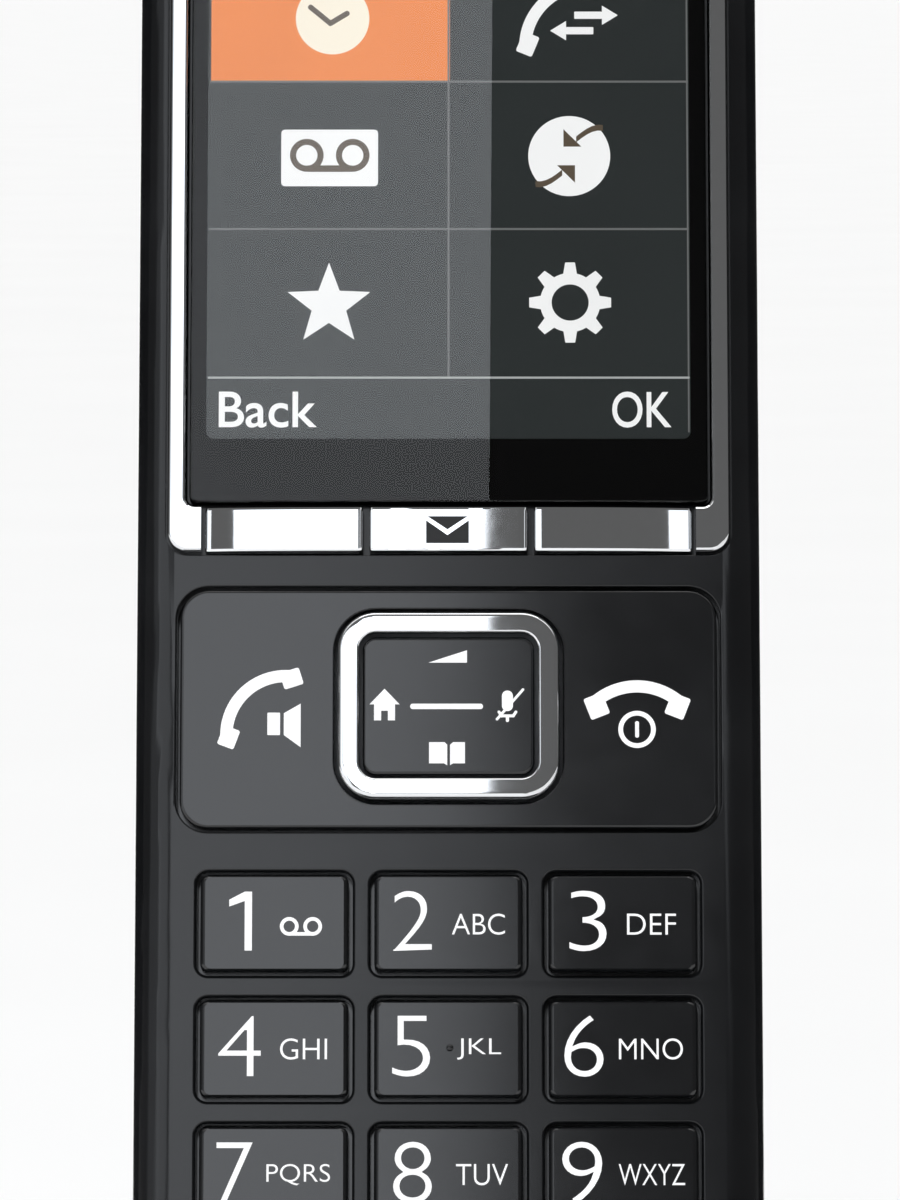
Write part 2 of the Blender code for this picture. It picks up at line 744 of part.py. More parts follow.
def digit_keys(handset):
    opening = box_outline(KEY_OPENING_WIDTH, KEY_OPENING_HEIGHT, KEY_RADIUS)
    for name, x, z in key_centres():
        stack(
            "key_" + name,
            lambda inset: opening(inset + SLIDE_GAP),
            [
                (FACE_Y - KEY_RISE, 0.45),
                (FACE_Y - KEY_RISE + 0.12, 0.14),
                (FACE_Y - KEY_RISE + 0.4, 0),
                (FLANGE_FRONT, 0),
                (FLANGE_FRONT, SLIDE_GAP - FLANGE_REACH),
                (FLANGE_BACK, SLIDE_GAP - FLANGE_REACH),
            ],
            centres=[(x, z)],
            finish=key_black(),
            parent=handset,
        )


def call_rocker(handset):
    """One plate for calling and ending a call, which tips about its middle round the navigation key."""
    ring = nav_outline()
    plate = stack(
        "call_end_rocker",
        box_outline(ROCKER_WIDTH, ROCKER_HEIGHT, ROCKER_RADIUS),
        [
            (FACE_Y - 0.15, 0.15),
            (FACE_Y, 0),
            (ROCKER_FLANGE, 0),
            (ROCKER_FLANGE, SLIDE_GAP - FLANGE_REACH),
            (ROCKER_FLANGE + FLANGE_THICKNESS, SLIDE_GAP - FLANGE_REACH),
        ],
        centres=[(0, ROCKER_CENTRE)],
        finish=key_black(),
        parent=handset,
    )
    hole = stack(
        "cut_nav_opening",
        ring,
        [(FACE_Y - 4, -SLIDE_GAP), (0, -SLIDE_GAP)],
        centres=[(0, NAV_CENTRE)],
        parent=handset,
    )
    cut(plate, hole)


def nav_outline():
    return box_outline(NAV_WIDTH, NAV_HEIGHT, NAV_RADIUS, corner_steps=5)


def navigation_key(handset):
    """A chrome ring with a pad inside it, on a carrier that lets them tip all four ways."""
    carrier_front = INNER_FACE_Y
    ring_back = carrier_front - NAV_TILT_ROOM
    ring = stack(
        "nav_ring",
        nav_outline(),
        [(FACE_Y - 0.9, 0.45), (FACE_Y - 0.75, 0.12), (FACE_Y - 0.5, 0), (ring_back, 0)],
        centres=[(0, NAV_CENTRE)],
        finish=chrome(),
        parent=handset,
    )
    hole = stack(
        "cut_nav_pad",
        nav_outline(),
        [(FACE_Y - 4, NAV_BAND), (0, NAV_BAND)],
        centres=[(0, NAV_CENTRE)],
        parent=handset,
    )
    cut(ring, hole)
    pad_inset = NAV_BAND + SLIDE_GAP
    stack(
        "nav_pad",
        nav_outline(),
        [(FACE_Y - 0.45, pad_inset + 0.2), (FACE_Y - 0.3, pad_inset), (ring_back, pad_inset)],
        centres=[(0, NAV_CENTRE)],
        finish=key_black(),
        parent=handset,
    )
    stack(
        "nav_carrier",
        nav_outline(),
        [(carrier_front, 0.8), (carrier_front + 0.9, 0.8)],
        centres=[(0, NAV_CENTRE)],
        finish=silicone(),
        parent=handset,
    )


# ---- Inside the handset ----
def handset_inside(handset):
    mat_bottom, mat_top = LOWEST_ROW - KEY_OPENING_HEIGHT / 2 - 2, SOFTKEY_CENTRE + 2.6
    stack(
        "key_mat",
        box_outline(HANDSET_WIDTH - 2 * BOARD_SIDE, mat_top - mat_bottom, 1),
        [(MAT_FRONT, 0), (MAT_FRONT + MAT_THICKNESS, 0)],
        centres=[(0, (mat_bottom + mat_top) / 2)],
        finish=silicone(),
        parent=handset,
    )
    board_back = BOARD_FRONT + BOARD_THICKNESS
    stack(
        "main_board",
        box_outline(HANDSET_WIDTH - 2 * BOARD_SIDE, BOARD_TOP - BOARD_BOTTOM, 2),
        [(BOARD_FRONT, 0), (board_back, 0)],
        centres=[(0, (BOARD_TOP + BOARD_BOTTOM) / 2)],
        finish=circuit_board(),
        parent=handset,
    )
    stack(
        "shield_can",
        box_outline(26, 22, 1),
        [(board_back + 0.2, 0), (board_back + 2.2, 0)],
        centres=[(0, BOARD_TOP - 13)],
        finish=screw_steel(),
        parent=handset,
    )
    fold = board_back + 0.2
    antenna = [
        (fold, BOARD_TOP - 1.2),
        (fold + 3.4, BOARD_TOP - 1.2),
        (fold + 3.4, BOARD_TOP + 6),
        (fold + 2.9, BOARD_TOP + 6),
        (fold + 2.9, BOARD_TOP - 0.7),
        (fold, BOARD_TOP - 0.7),
    ]
    strip("antenna", antenna, [(-14, 14)], finish=spring_metal(), parent=handset)
    stack(
        "earpiece_capsule",
        round_outline(5.0),
        [(INNER_FACE_Y + 0.25, 1.2), (INNER_FACE_Y + 0.6, 0), (INNER_FACE_Y + 3.2, 0)],
        centres=[(0, EARPIECE_Z)],
        finish=screw_steel(),
        parent=handset,
    )
    stack(
        "earpiece_grille",
        box_outline(EARPIECE_WIDTH, EARPIECE_HEIGHT, EARPIECE_HEIGHT / 2),
        [(FACE_Y + 0.35, 0), (INNER_FACE_Y - 0.1, 0)],
        centres=[(0, EARPIECE_Z)],
        finish=screw_steel(),
        parent=handset,
    )
    stack(
        "microphone",
        round_outline(2.0, 7),
        [(INNER_FACE_Y + 0.2, 0), (INNER_FACE_Y + 1.5, 0)],
        centres=[(0, MICROPHONE_Z)],
        finish=screw_steel(),
        parent=handset,
    )
    speaker_z = HANDSET_LENGTH - LOUDSPEAKER_TO_HEAD
    speaker_back = back_depth(speaker_z + LOUDSPEAKER_RADIUS) - SIDE_WALL - 0.5
    stack(
        "loudspeaker",
        round_outline(LOUDSPEAKER_RADIUS),
        [(speaker_back - 4.0, 3.5), (speaker_back - 2.2, 1.0), (speaker_back - 0.8, 0), (speaker_back, 0)],
        centres=[(0, speaker_z)],
        finish=screw_steel(),
        parent=handset,
    )
    for side, x in (("left", -CASE_SCREW_X), ("right", CASE_SCREW_X)):
        head = screw_head_front() + 0.25
        stack(
            "case_screw_" + side,
            round_outline(2.1, 7),
            [(head + 1.8, 0), (head, 0), (head, 0.95), (INNER_FACE_Y + 1.6, 0.95)],
            centres=[(x, CASE_SCREW_Z)],
            finish=screw_steel(),
            parent=handset,
        )
    for side, x in (("left", -PAD_X), ("right", PAD_X)):
        stack(
            "charge_pad_" + side,
            box_outline(PAD_WIDTH, PAD_LENGTH, 0.4),
            [(0.35, 0), (SIDE_WALL - 0.7, 0)],
            plane="floor",
            centres=[(x, PAD_Y)],
            finish=spring_metal(),
            parent=handset,
        )


def batteries(handset):
    """Two cells side by side, end for end, with a contact at each and a strip that joins them."""
    low, high = COVER_CENTRE - CELL_LENGTH / 2, COVER_CENTRE + CELL_LENGTH / 2
    nub = 1.2
    for name, x, up in (("battery_left", -CELL_X, 1), ("battery_right", CELL_X, -1)):
        ends = (low, high) if up > 0 else (high, low)
        stack(
            name,
            round_outline(CELL_DIAMETER / 2, 9),
            [
                (ends[0], 0.4),
                (ends[0] + 0.4 * up, 0),
                (ends[1] - (nub + 0.4) * up, 0),
                (ends[1] - nub * up, 0.4),
                (ends[1] - nub * up, CELL_DIAMETER / 2 - 1.9),
                (ends[1], CELL_DIAMETER / 2 - 1.9),
            ],
            plane="floor",
            centres=[(x, CELL_Y)],
            finish=cell_wrap(),
            parent=handset,
        )
    half = CELL_DIAMETER / 2 - 1.65
    for side, x in (("left", -CELL_X), ("right", CELL_X)):
        contact_strip("cell_contact_" + side, handset, (x - half, x + half), high, 1)
    contact_strip("cell_contact_bridge", handset, (-CELL_X - half, CELL_X + half), low, -1)


def contact_strip(name, handset, x_range, cell_end, outward):
    """A bent spring strip between the cells' ends and the end of the bay."""
    near, far = cell_end + 0.3 * outward, cell_end + (CONTACT_ROOM - 0.4) * outward
    half = CELL_DIAMETER / 2 - 1.85
    low, high = CELL_Y - half, CELL_Y + half
    bend = [
        (low, far),
        (high, far),
        (high, far - 0.4 * outward),
        (low + 0.7, far - 0.4 * outward),
        (CELL_Y, near),
        (CELL_Y - 0.4, near),
        (low, far - 0.6 * outward),
    ]
    strip(name, bend, [x_range], finish=spring_metal(), parent=handset)


# ---- Base ----
def hermite(y, start, end):
    """Height at y on a smooth run between two (y, height, slope) ends."""
    (y0, z0, slope0), (y1, z1, slope1) = start, end
    t, run = (y - y0) / (y1 - y0), y1 - y0
    return (
        (2 * t**3 - 3 * t**2 + 1) * z0
        + (t**3 - 2 * t**2 + t) * run * slope0
        + (3 * t**2 - 2 * t**3) * z1
        + (t**3 - t**2) * run * slope1
    )


def base_top(y):
    """The base's top line: a slope up to the well's lip, a crest behind the handset, a fall to the rear."""
    lip = (LIP_Y, LIP_HEIGHT, FRONT_SLOPE)
    crest = (CREST_Y, CREST_HEIGHT, 0.0)
    rear = (BASE_DEPTH / 2, REAR_EDGE_HEIGHT, -0.45)
    if y < LIP_Y:
        return LIP_HEIGHT + (y - LIP_Y) * FRONT_SLOPE
    if y < CREST_Y:
        return hermite(y, lip, crest)
    return hermite(y, crest, rear)


def page_tilt():
    return math.atan(FRONT_SLOPE)


def base_form(name, grow, bottom, finish=None):
    """The base's outer form, grown by grow, from the height bottom up to its curved top."""
    outline = box_outline(
        BASE_WIDTH + 2 * grow, BASE_DEPTH + 2 * grow, BASE_CORNER + grow, corner_steps=6, side_steps=10
    )
    rim = fillet(BASE_FILLET + grow, 4, 0, 1)
    profile = [(bottom, 0)]
    for drop, inset in reversed(rim):
        profile.append((lambda a, b, drop=drop: base_top(b) + grow - drop, inset))
    return stack(name, outline, profile, plane="floor", finish=finish)


def base_columns(name, radius, heights):
    centres = [(x, COLUMN_Y) for x in (-COLUMN_X, COLUMN_X)]
    return stack(name, round_outline(radius, 7), heights, plane="floor", centres=centres)


def base_housing(handset, page):
    housing = base_form("base_housing", 0.0, BASE_UNDERSIDE, casing_black())
    hollow = base_form("cut_base_hollow", -BASE_WALL, -5.0)
    well_block = handset_form("well_block", side=WELL_GROWTH, front=WELL_GROWTH, parent=handset)
    well = handset_form("cut_well", side=WELL_CLEARANCE, front=WELL_CLEARANCE, parent=handset)
    column_heights = [(BASE_PLATE_TOP + JOINT_GAP, 0), (2 * CREST_HEIGHT, 0)]
    columns = base_columns("base_columns", COLUMN_RADIUS, column_heights)
    threads = base_columns("cut_column_threads", 1.5, [(-1, 0), (BASE_PLATE_TOP + 8, 0)])
    slots = stack(
        "cut_contact_slots",
        box_outline(CONTACT_WIDTH + 1.0, CONTACT_DEPTH + 1.0, 0.4),
        [(-WELL_GROWTH - 2, 0), (2, 0)],
        plane="floor",
        centres=[(-PAD_X, PAD_Y), (PAD_X, PAD_Y)],
        parent=handset,
    )
    socket_holes = stack(
        "cut_socket_holes",
        box_outline(SOCKET_WIDTH + 2 * JOINT_GAP, SOCKET_HEIGHT + 2 * JOINT_GAP, 0.5),
        [(BASE_DEPTH / 2 - 3 * BASE_WALL, 0), (BASE_DEPTH, 0)],
        centres=[(x, SOCKET_BOTTOM + SOCKET_HEIGHT / 2) for x in (-SOCKET_X, SOCKET_X)],
    )
    key_hole = stack(
        "cut_page_key",
        page_key_outline(),
        [(-BASE_WALL - 3, 0), (5, 0)],
        plane="floor",
        parent=page,
    )
    cut(hollow, well_block, columns)
    cut(housing, hollow, well, slots, socket_holes, key_hole, threads)


def page_key_outline():
    return box_outline(PAGE_KEY_WIDTH, PAGE_KEY_HEIGHT, PAGE_KEY_HEIGHT / 2, corner_steps=6)


def page_key(page):
    under = -BASE_WALL - JOINT_GAP
    stack(
        "page_key",
        page_key_outline(),
        [
            (PAGE_KEY_RISE, SLIDE_GAP + 0.5),
            (PAGE_KEY_RISE - 0.15, SLIDE_GAP + 0.15),
            (PAGE_KEY_RISE - 0.45, SLIDE_GAP),
            (under, SLIDE_GAP),
            (under, SLIDE_GAP - PAGE_KEY_FLANGE),
            (under - PAGE_KEY_FLANGE, SLIDE_GAP - PAGE_KEY_FLANGE),
        ],
        plane="floor",
        finish=key_black(),
        parent=page,
    )


def base_plate():
    plate = stack(
        "base_plate",
        box_outline(
            BASE_WIDTH - 2 * (BASE_WALL + JOINT_GAP),
            BASE_DEPTH - 2 * (BASE_WALL + JOINT_GAP),
            BASE_CORNER - BASE_WALL - JOINT_GAP,
            corner_steps=6,
        ),
        [(BASE_UNDERSIDE, 0), (BASE_PLATE_TOP, 0)],
        plane="floor",
        finish=casing_black(),
    )
    pockets = stack(
        "cut_foot_pockets",
        round_outline(FOOT_RADIUS + JOINT_GAP),
        [(-2, 0), (FOOT_THICKNESS + 0.2, 0)],
        plane="floor",
        centres=[(x, y) for x in (-FOOT_X, FOOT_X) for y in (-FOOT_Y, FOOT_Y)],
    )
    screw_heads = base_columns("cut_base_screw_heads", 2.6, [(-1, 0), (BASE_UNDERSIDE + 1.0, 0)])
    screw_holes = base_columns("cut_base_screw_holes", 1.5, [(-1, 0), (BASE_PLATE_TOP + 1, 0)])
    vents = stack(
        "cut_base_vents",
        box_outline(16, 1.6, 0.8),
        [(-1, 0), (BASE_PLATE_TOP + 1, 0)],
        plane="floor",
        centres=[(0, 4 * k - 8) for k in range(5)],
    )
    cut(plate, pockets, screw_heads, screw_holes, vents)
    for depth, y in (("front", -FOOT_Y), ("rear", FOOT_Y)):
        for side, x in (("left", -FOOT_X), ("right", FOOT_X)):
            stack(
                "foot_" + depth + "_" + side,
                round_outline(FOOT_RADIUS),
                [(0, 0.3), (0.3, 0), (FOOT_THICKNESS, 0)],
                plane="floor",
                centres=[(x, y)],
                finish=foot_rubber(),
            )
    head_top = BASE_UNDERSIDE + 0.85
    for side, x in (("left", -COLUMN_X), ("right", COLUMN_X)):
        stack(
            "base_screw_" + side,
            round_outline(2.2, 7),
            [(BASE_UNDERSIDE + 0.15, 0), (head_top, 0), (head_top, 1.0), (BASE_PLATE_TOP + 6, 1.0)],
            plane="floor",
            centres=[(x, COLUMN_Y)],
            finish=screw_steel(),
        )


def socket(name, x, plug_width):
    """A modular socket in the rear wall: a square mouth with a channel over it for the plug's latch."""
    low, high = SOCKET_BOTTOM, SOCKET_BOTTOM + SOCKET_HEIGHT
    mouth = BASE_DEPTH / 2 - 0.4
    body = block(
        name,
        (x - SOCKET_WIDTH / 2, x + SOCKET_WIDTH / 2),
        (mouth - SOCKET_DEPTH, mouth),
        (low, high),
        finish=key_black(),
    )
    cavity = block(
        "cut_" + name,
        (x - plug_width / 2, x + plug_width / 2),
        (mouth - PLUG_DEPTH, mouth + 3),
        (low + 0.8, low + 0.8 + PLUG_HEIGHT),
    )
    latch = block(
        "cut_latch_" + name,
        (x - plug_width / 4, x + plug_width / 4),
        (mouth - PLUG_DEPTH + 2, mouth + 3),
        (low + PLUG_HEIGHT, high - 0.7),
    )
    cut(body, cavity, latch)


def base_electronics(handset):
    stack(
        "base_board",
        box_outline(52, BASE_DEPTH - 16, 2),
        [(BASE_PLATE_TOP + 1.2, 0), (BASE_BOARD_TOP, 0)],
        plane="floor",
        centres=[(0, 2)],
        finish=circuit_board(),
    )
    key_depth = BASE_WALL + JOINT_GAP + PAGE_KEY_FLANGE
    pressed = base_top(PAGE_KEY_Y) - (key_depth + PAGE_KEY_TRAVEL) * math.cos(page_tilt())
    body_top = BASE_BOARD_TOP + 3.8
    stack(
        "page_switch",
        box_outline(6, 6, 0.4, corner_steps=2),
        [(BASE_BOARD_TOP + JOINT_GAP, 0), (body_top, 0), (body_top, 1.4), (pressed - 1.2, 1.4)],
        plane="floor",
        centres=[(0, PAGE_KEY_Y + key_depth * math.sin(page_tilt()))],
        finish=key_black(),
    )
    socket("line_socket", -SOCKET_X, LINE_PLUG_WIDTH)
    socket("power_socket", SOCKET_X, POWER_PLUG_WIDTH)
    half, top, sheet = CONTACT_DEPTH / 2, 0.35 - JOINT_GAP, 0.5
    foot = top - CONTACT_HEIGHT
    for side, x in (("left", -PAD_X), ("right", PAD_X)):
        hoop = [
            (PAD_Y - half, foot),
            (PAD_Y - half, top - 1.2),
            (PAD_Y - half + 1.2, top),
            (PAD_Y + half - 1.2, top),
            (PAD_Y + half, top - 1.2),
            (PAD_Y + half, foot),
            (PAD_Y + half - sheet, foot),
            (PAD_Y + half - sheet, top - 1.4),
            (PAD_Y + half - 1.4, top - sheet),
            (PAD_Y - half + 1.4, top - sheet),
            (PAD_Y - half + sheet, top - 1.4),
            (PAD_Y - half + sheet, foot),
        ]
        x_range = (x - CONTACT_WIDTH / 2, x + CONTACT_WIDTH / 2)
        strip("charge_contact_" + side, hoop, [x_range], finish=spring_metal(), parent=handset)


def main():
    clear_scene()
    handset = frame_empty("handset_frame", (0, SEAT_Y, SEAT_Z), -LEAN)
    page = frame_empty("page_key_frame", (0, PAGE_KEY_Y, base_top(PAGE_KEY_Y)), page_tilt())
    cavity = handset_form("cut_handset_cavity", side=-SIDE_WALL, front=-FRONT_WALL, parent=handset)
    front_shell(handset, cavity)
    back_shell(handset, cavity)
    battery_cover(handset)
    display(handset)
    soft_keys(handset)
    digit_keys(handset)
    call_rocker(handset)
    navigation_key(handset)
    handset_inside(handset)
    batteries(handset)
    base_housing(handset, page)
    page_key(page)
    base_plate()
    base_electronics(handset)
    bpy.context.view_layer.update()
    for made in [obj for obj in bpy.data.objects if obj.modifiers and not obj.hide_render]:
        mend(made)


if __name__ == "__main__":
    main()
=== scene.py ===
"""The looks of a cordless telephone and its charging base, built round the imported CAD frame.

The handset is built upright in its own frame: X to the right, Z up its length and its face towards -Y,
with the origin at the middle of its lower end, on the line where the two casings meet. A LocalFrame leans
that frame back in the base, which stands on Z = 0. Sizes are in millimetres until a piece is dressed.
"""

import json
import logging
import math
from dataclasses import dataclass, field
from enum import Enum
from typing import Callable, Iterator, Sequence

import bmesh
import bpy
from mathutils import Matrix, Vector

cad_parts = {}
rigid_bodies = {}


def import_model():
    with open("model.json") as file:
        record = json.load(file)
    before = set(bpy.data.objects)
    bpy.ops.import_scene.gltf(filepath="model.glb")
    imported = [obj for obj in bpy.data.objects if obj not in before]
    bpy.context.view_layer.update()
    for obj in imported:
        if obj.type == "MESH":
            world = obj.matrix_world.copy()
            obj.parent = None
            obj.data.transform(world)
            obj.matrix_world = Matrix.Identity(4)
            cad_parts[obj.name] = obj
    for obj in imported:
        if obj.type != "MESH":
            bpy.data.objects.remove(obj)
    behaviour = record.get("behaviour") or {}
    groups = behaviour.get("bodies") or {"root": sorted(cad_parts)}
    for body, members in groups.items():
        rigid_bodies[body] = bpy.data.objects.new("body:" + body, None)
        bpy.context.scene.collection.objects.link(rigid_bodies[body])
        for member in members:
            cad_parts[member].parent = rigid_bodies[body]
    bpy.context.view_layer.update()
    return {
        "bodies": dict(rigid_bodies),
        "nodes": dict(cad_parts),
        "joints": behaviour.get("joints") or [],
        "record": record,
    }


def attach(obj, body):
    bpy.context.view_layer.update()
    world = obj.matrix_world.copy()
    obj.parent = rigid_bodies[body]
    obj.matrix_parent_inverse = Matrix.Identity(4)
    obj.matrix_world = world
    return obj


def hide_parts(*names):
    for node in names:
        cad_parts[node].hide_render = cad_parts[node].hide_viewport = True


LOG = logging.getLogger("cordless_phone")
MM = 0.001
CREASE = math.radians(32)
SLANT = math.radians(8)
ONE_PLANE = math.radians(0.02)
WELD_GAP = 1e-4
THIN_EDGE = 1e-5
WIDE_SHARE = 8
BEND_STEPS = 6

Point2 = tuple[float, float]
Point3 = tuple[float, float, float]
Colour = tuple[float, float, float]
Loop = list[Point2]
Outline = Callable[[float], Loop]
Depth = float | Callable[[float, float], float]
Profile = list[tuple[Depth, float]]


class Plane(Enum):
    """The plane that an outline lies in; its depth runs along the third axis of the frame."""

    FACE = "outline in X and Z, depth along Y"
    FLOOR = "outline in X and Y, depth along Z"


# ---- Outlines: points (a, b) mirrored about a = 0, from the near end round the right side ----
def mirrored(right: Loop) -> Loop:
    """Returns the right-hand points followed by their mirror images, as one closed outline."""
    return right + [(-a, b) for a, b in reversed(right)]


def rounded_box(
    width: float, length: float, radius: float, corner_steps: int = 8, side_steps: int = 1, end_steps: int = 1
) -> Loop:
    """A rectangle with round corners.

    Args:
        width: Its size along a.
        length: Its size along b.
        radius: Radius of its corners.
        corner_steps: Steps round each corner.
        side_steps: Steps along each long side.
        end_steps: Steps along half of each end.

    Returns:
        The closed outline.
    """
    radius = max(min(radius, width / 2 - 0.02, length / 2 - 0.02), 0.02)
    flat_a, flat_b = width / 2 - radius, length / 2 - radius
    end = [flat_a * (k - 0.5) / (end_steps - 0.5) for k in range(1, end_steps + 1)]
    turn = [math.radians(90) * k / corner_steps for k in range(1, corner_steps + 1)]
    right = [(a, -length / 2) for a in end]
    right += [(flat_a + radius * math.sin(t), -flat_b - radius * math.cos(t)) for t in turn]
    right += [(width / 2, -flat_b + 2 * flat_b * k / side_steps) for k in range(1, side_steps + 1)]
    right += [(flat_a + radius * math.cos(t), flat_b + radius * math.sin(t)) for t in turn]
    right += [(a, length / 2) for a in reversed(end[:-1])]
    return mirrored(right)


def circle(radius: float, steps: int = 20) -> Loop:
    """Returns a circle as a closed outline of twice as many points as it has steps."""
    turn = [math.pi * ((k + 0.5) / steps - 0.5) for k in range(steps)]
    return mirrored([(radius * math.cos(t), radius * math.sin(t)) for t in turn])


def box_outline(
    width: float, length: float, radius: float = 0.02, aspect: float = 1.0, **steps: int
) -> Outline:
    """A rounded box for any inset.

    Args:
        width: Size along a at no inset.
        length: Size along b at no inset.
        radius: Corner radius at no inset.
        aspect: How much of the inset the two ends take, where the sides take all of it.
        **steps: Step counts for rounded_box.

    Returns:
        A function from inset to outline.
    """
    return lambda inset: rounded_box(
        width - 2 * inset, length - 2 * aspect * inset, radius - aspect * inset, **steps
    )


def grown_box(size: Point2, grow: float, radius: float) -> Outline:
    """Returns the outline of a rounded box that is a size grown all round."""
    return box_outline(size[0] + 2 * grow, size[1] + 2 * grow, radius)


def round_outline(radius: float, steps: int = 20) -> Outline:
    """Returns a circle's outline for any inset."""
    return lambda inset: circle(radius - inset, steps)


def fillet(radius: float, steps: int, edge: float, direction: int, start: float = 0.0) -> Profile:
    """(depth, inset) steps round an edge.

    Args:
        radius: Radius of the edge.
        steps: Steps round it.
        edge: Depth of the flat face that the edge starts from.
        direction: 1 where the side lies deeper than the face, -1 where it lies higher.
        start: Angle in degrees at which the edge leaves the face, where it meets it at a crease.

    Returns:
        The steps, from the face to the side.
    """
    first = math.radians(start)
    turn = [first + (math.pi / 2 - first) * k / steps for k in range(steps + 1)]
    lead = 1 - math.cos(first)
    return [(edge + direction * radius * (1 - math.cos(t) - lead), radius * (1 - math.sin(t))) for t in turn]


def mouth(face: float, deep: float, lip: float, steps: int = 4) -> Profile:
    """The profile of a cutter that rounds the lip of the opening it makes.

    Args:
        face: Depth of the surface that it cuts into.
        deep: Depth where the cutter ends.
        lip: Radius of the rounded lip.
        steps: Steps round the lip.

    Returns:
        (depth, inset) steps, from just outside the surface to the cutter's end.
    """
    direction = math.copysign(1.0, deep - face)
    first = math.radians(24)
    turn = [first + (math.pi / 2 - first) * k / steps for k in range(steps + 1)]
    arc = [(face + direction * lip * (1 - math.cos(t)), lip * (math.sin(t) - 1)) for t in turn]
    outside = (arc[0][0] - direction * 0.1, arc[0][1] - 0.1 / math.tan(first))
    return [outside, *arc, (deep, 0.0)]


def smooth_step(value: float) -> float:
    """Returns the smooth ramp from 0 to 1 at this value."""
    value = min(max(value, 0.0), 1.0)
    return value * value * (3 - 2 * value)


def hermite(y: float, start: Point3, end: Point3) -> float:
    """Height on a smooth run between two ends.

    Args:
        y: Where along the run.
        start: (y, height, slope) at its start.
        end: (y, height, slope) at its end.

    Returns:
        The height at y.
    """
    (y0, z0, slope0), (y1, z1, slope1) = start, end
    t, run = (y - y0) / (y1 - y0), y1 - y0
    return (
        (2 * t**3 - 3 * t**2 + 1) * z0 + (t**3 - 2 * t**2 + t) * run * slope0 + (3 * t**2 - 2 * t**3) * z1
        + (t**3 - t**2) * run * slope1
    )


# ---- Shader graphs ----
class Value:
    """A shader socket that stands in a Python expression; each operator adds its Math node."""

    def __init__(self, graph: "Graph", socket: bpy.types.NodeSocket) -> None:
        """Wraps one output socket of the graph."""
        self.graph, self.socket = graph, socket

    def out(self, name: str) -> "Value":
        """Returns another output of the same node."""
        return Value(self.graph, self.socket.node.outputs[name])

    def __add__(self, other: "Value | float") -> "Value":
        """Returns self + other."""
        return self.graph.math("ADD", self, other)

    def __radd__(self, other: float) -> "Value":
        """Returns other + self."""
        return self.graph.math("ADD", other, self)

    def __sub__(self, other: "Value | float") -> "Value":
        """Returns self - other."""
        return self.graph.math("SUBTRACT", self, other)

    def __rsub__(self, other: float) -> "Value":
        """Returns other - self."""
        return self.graph.math("SUBTRACT", other, self)

    def __mul__(self, other: "Value | float") -> "Value":
        """Returns self * other."""
        return self.graph.math("MULTIPLY", self, other)

    def __rmul__(self, other: float) -> "Value":
        """Returns other * self."""
        return self.graph.math("MULTIPLY", other, self)

    def __truediv__(self, other: "Value | float") -> "Value":
        """Returns self / other."""
        return self.graph.math("DIVIDE", self, other)

    def __rtruediv__(self, other: float) -> "Value":
        """Returns other / self."""
        return self.graph.math("DIVIDE", other, self)

    def __pow__(self, other: "Value | float") -> "Value":
        """Returns self to the power other."""
        return self.graph.math("POWER", self, other)


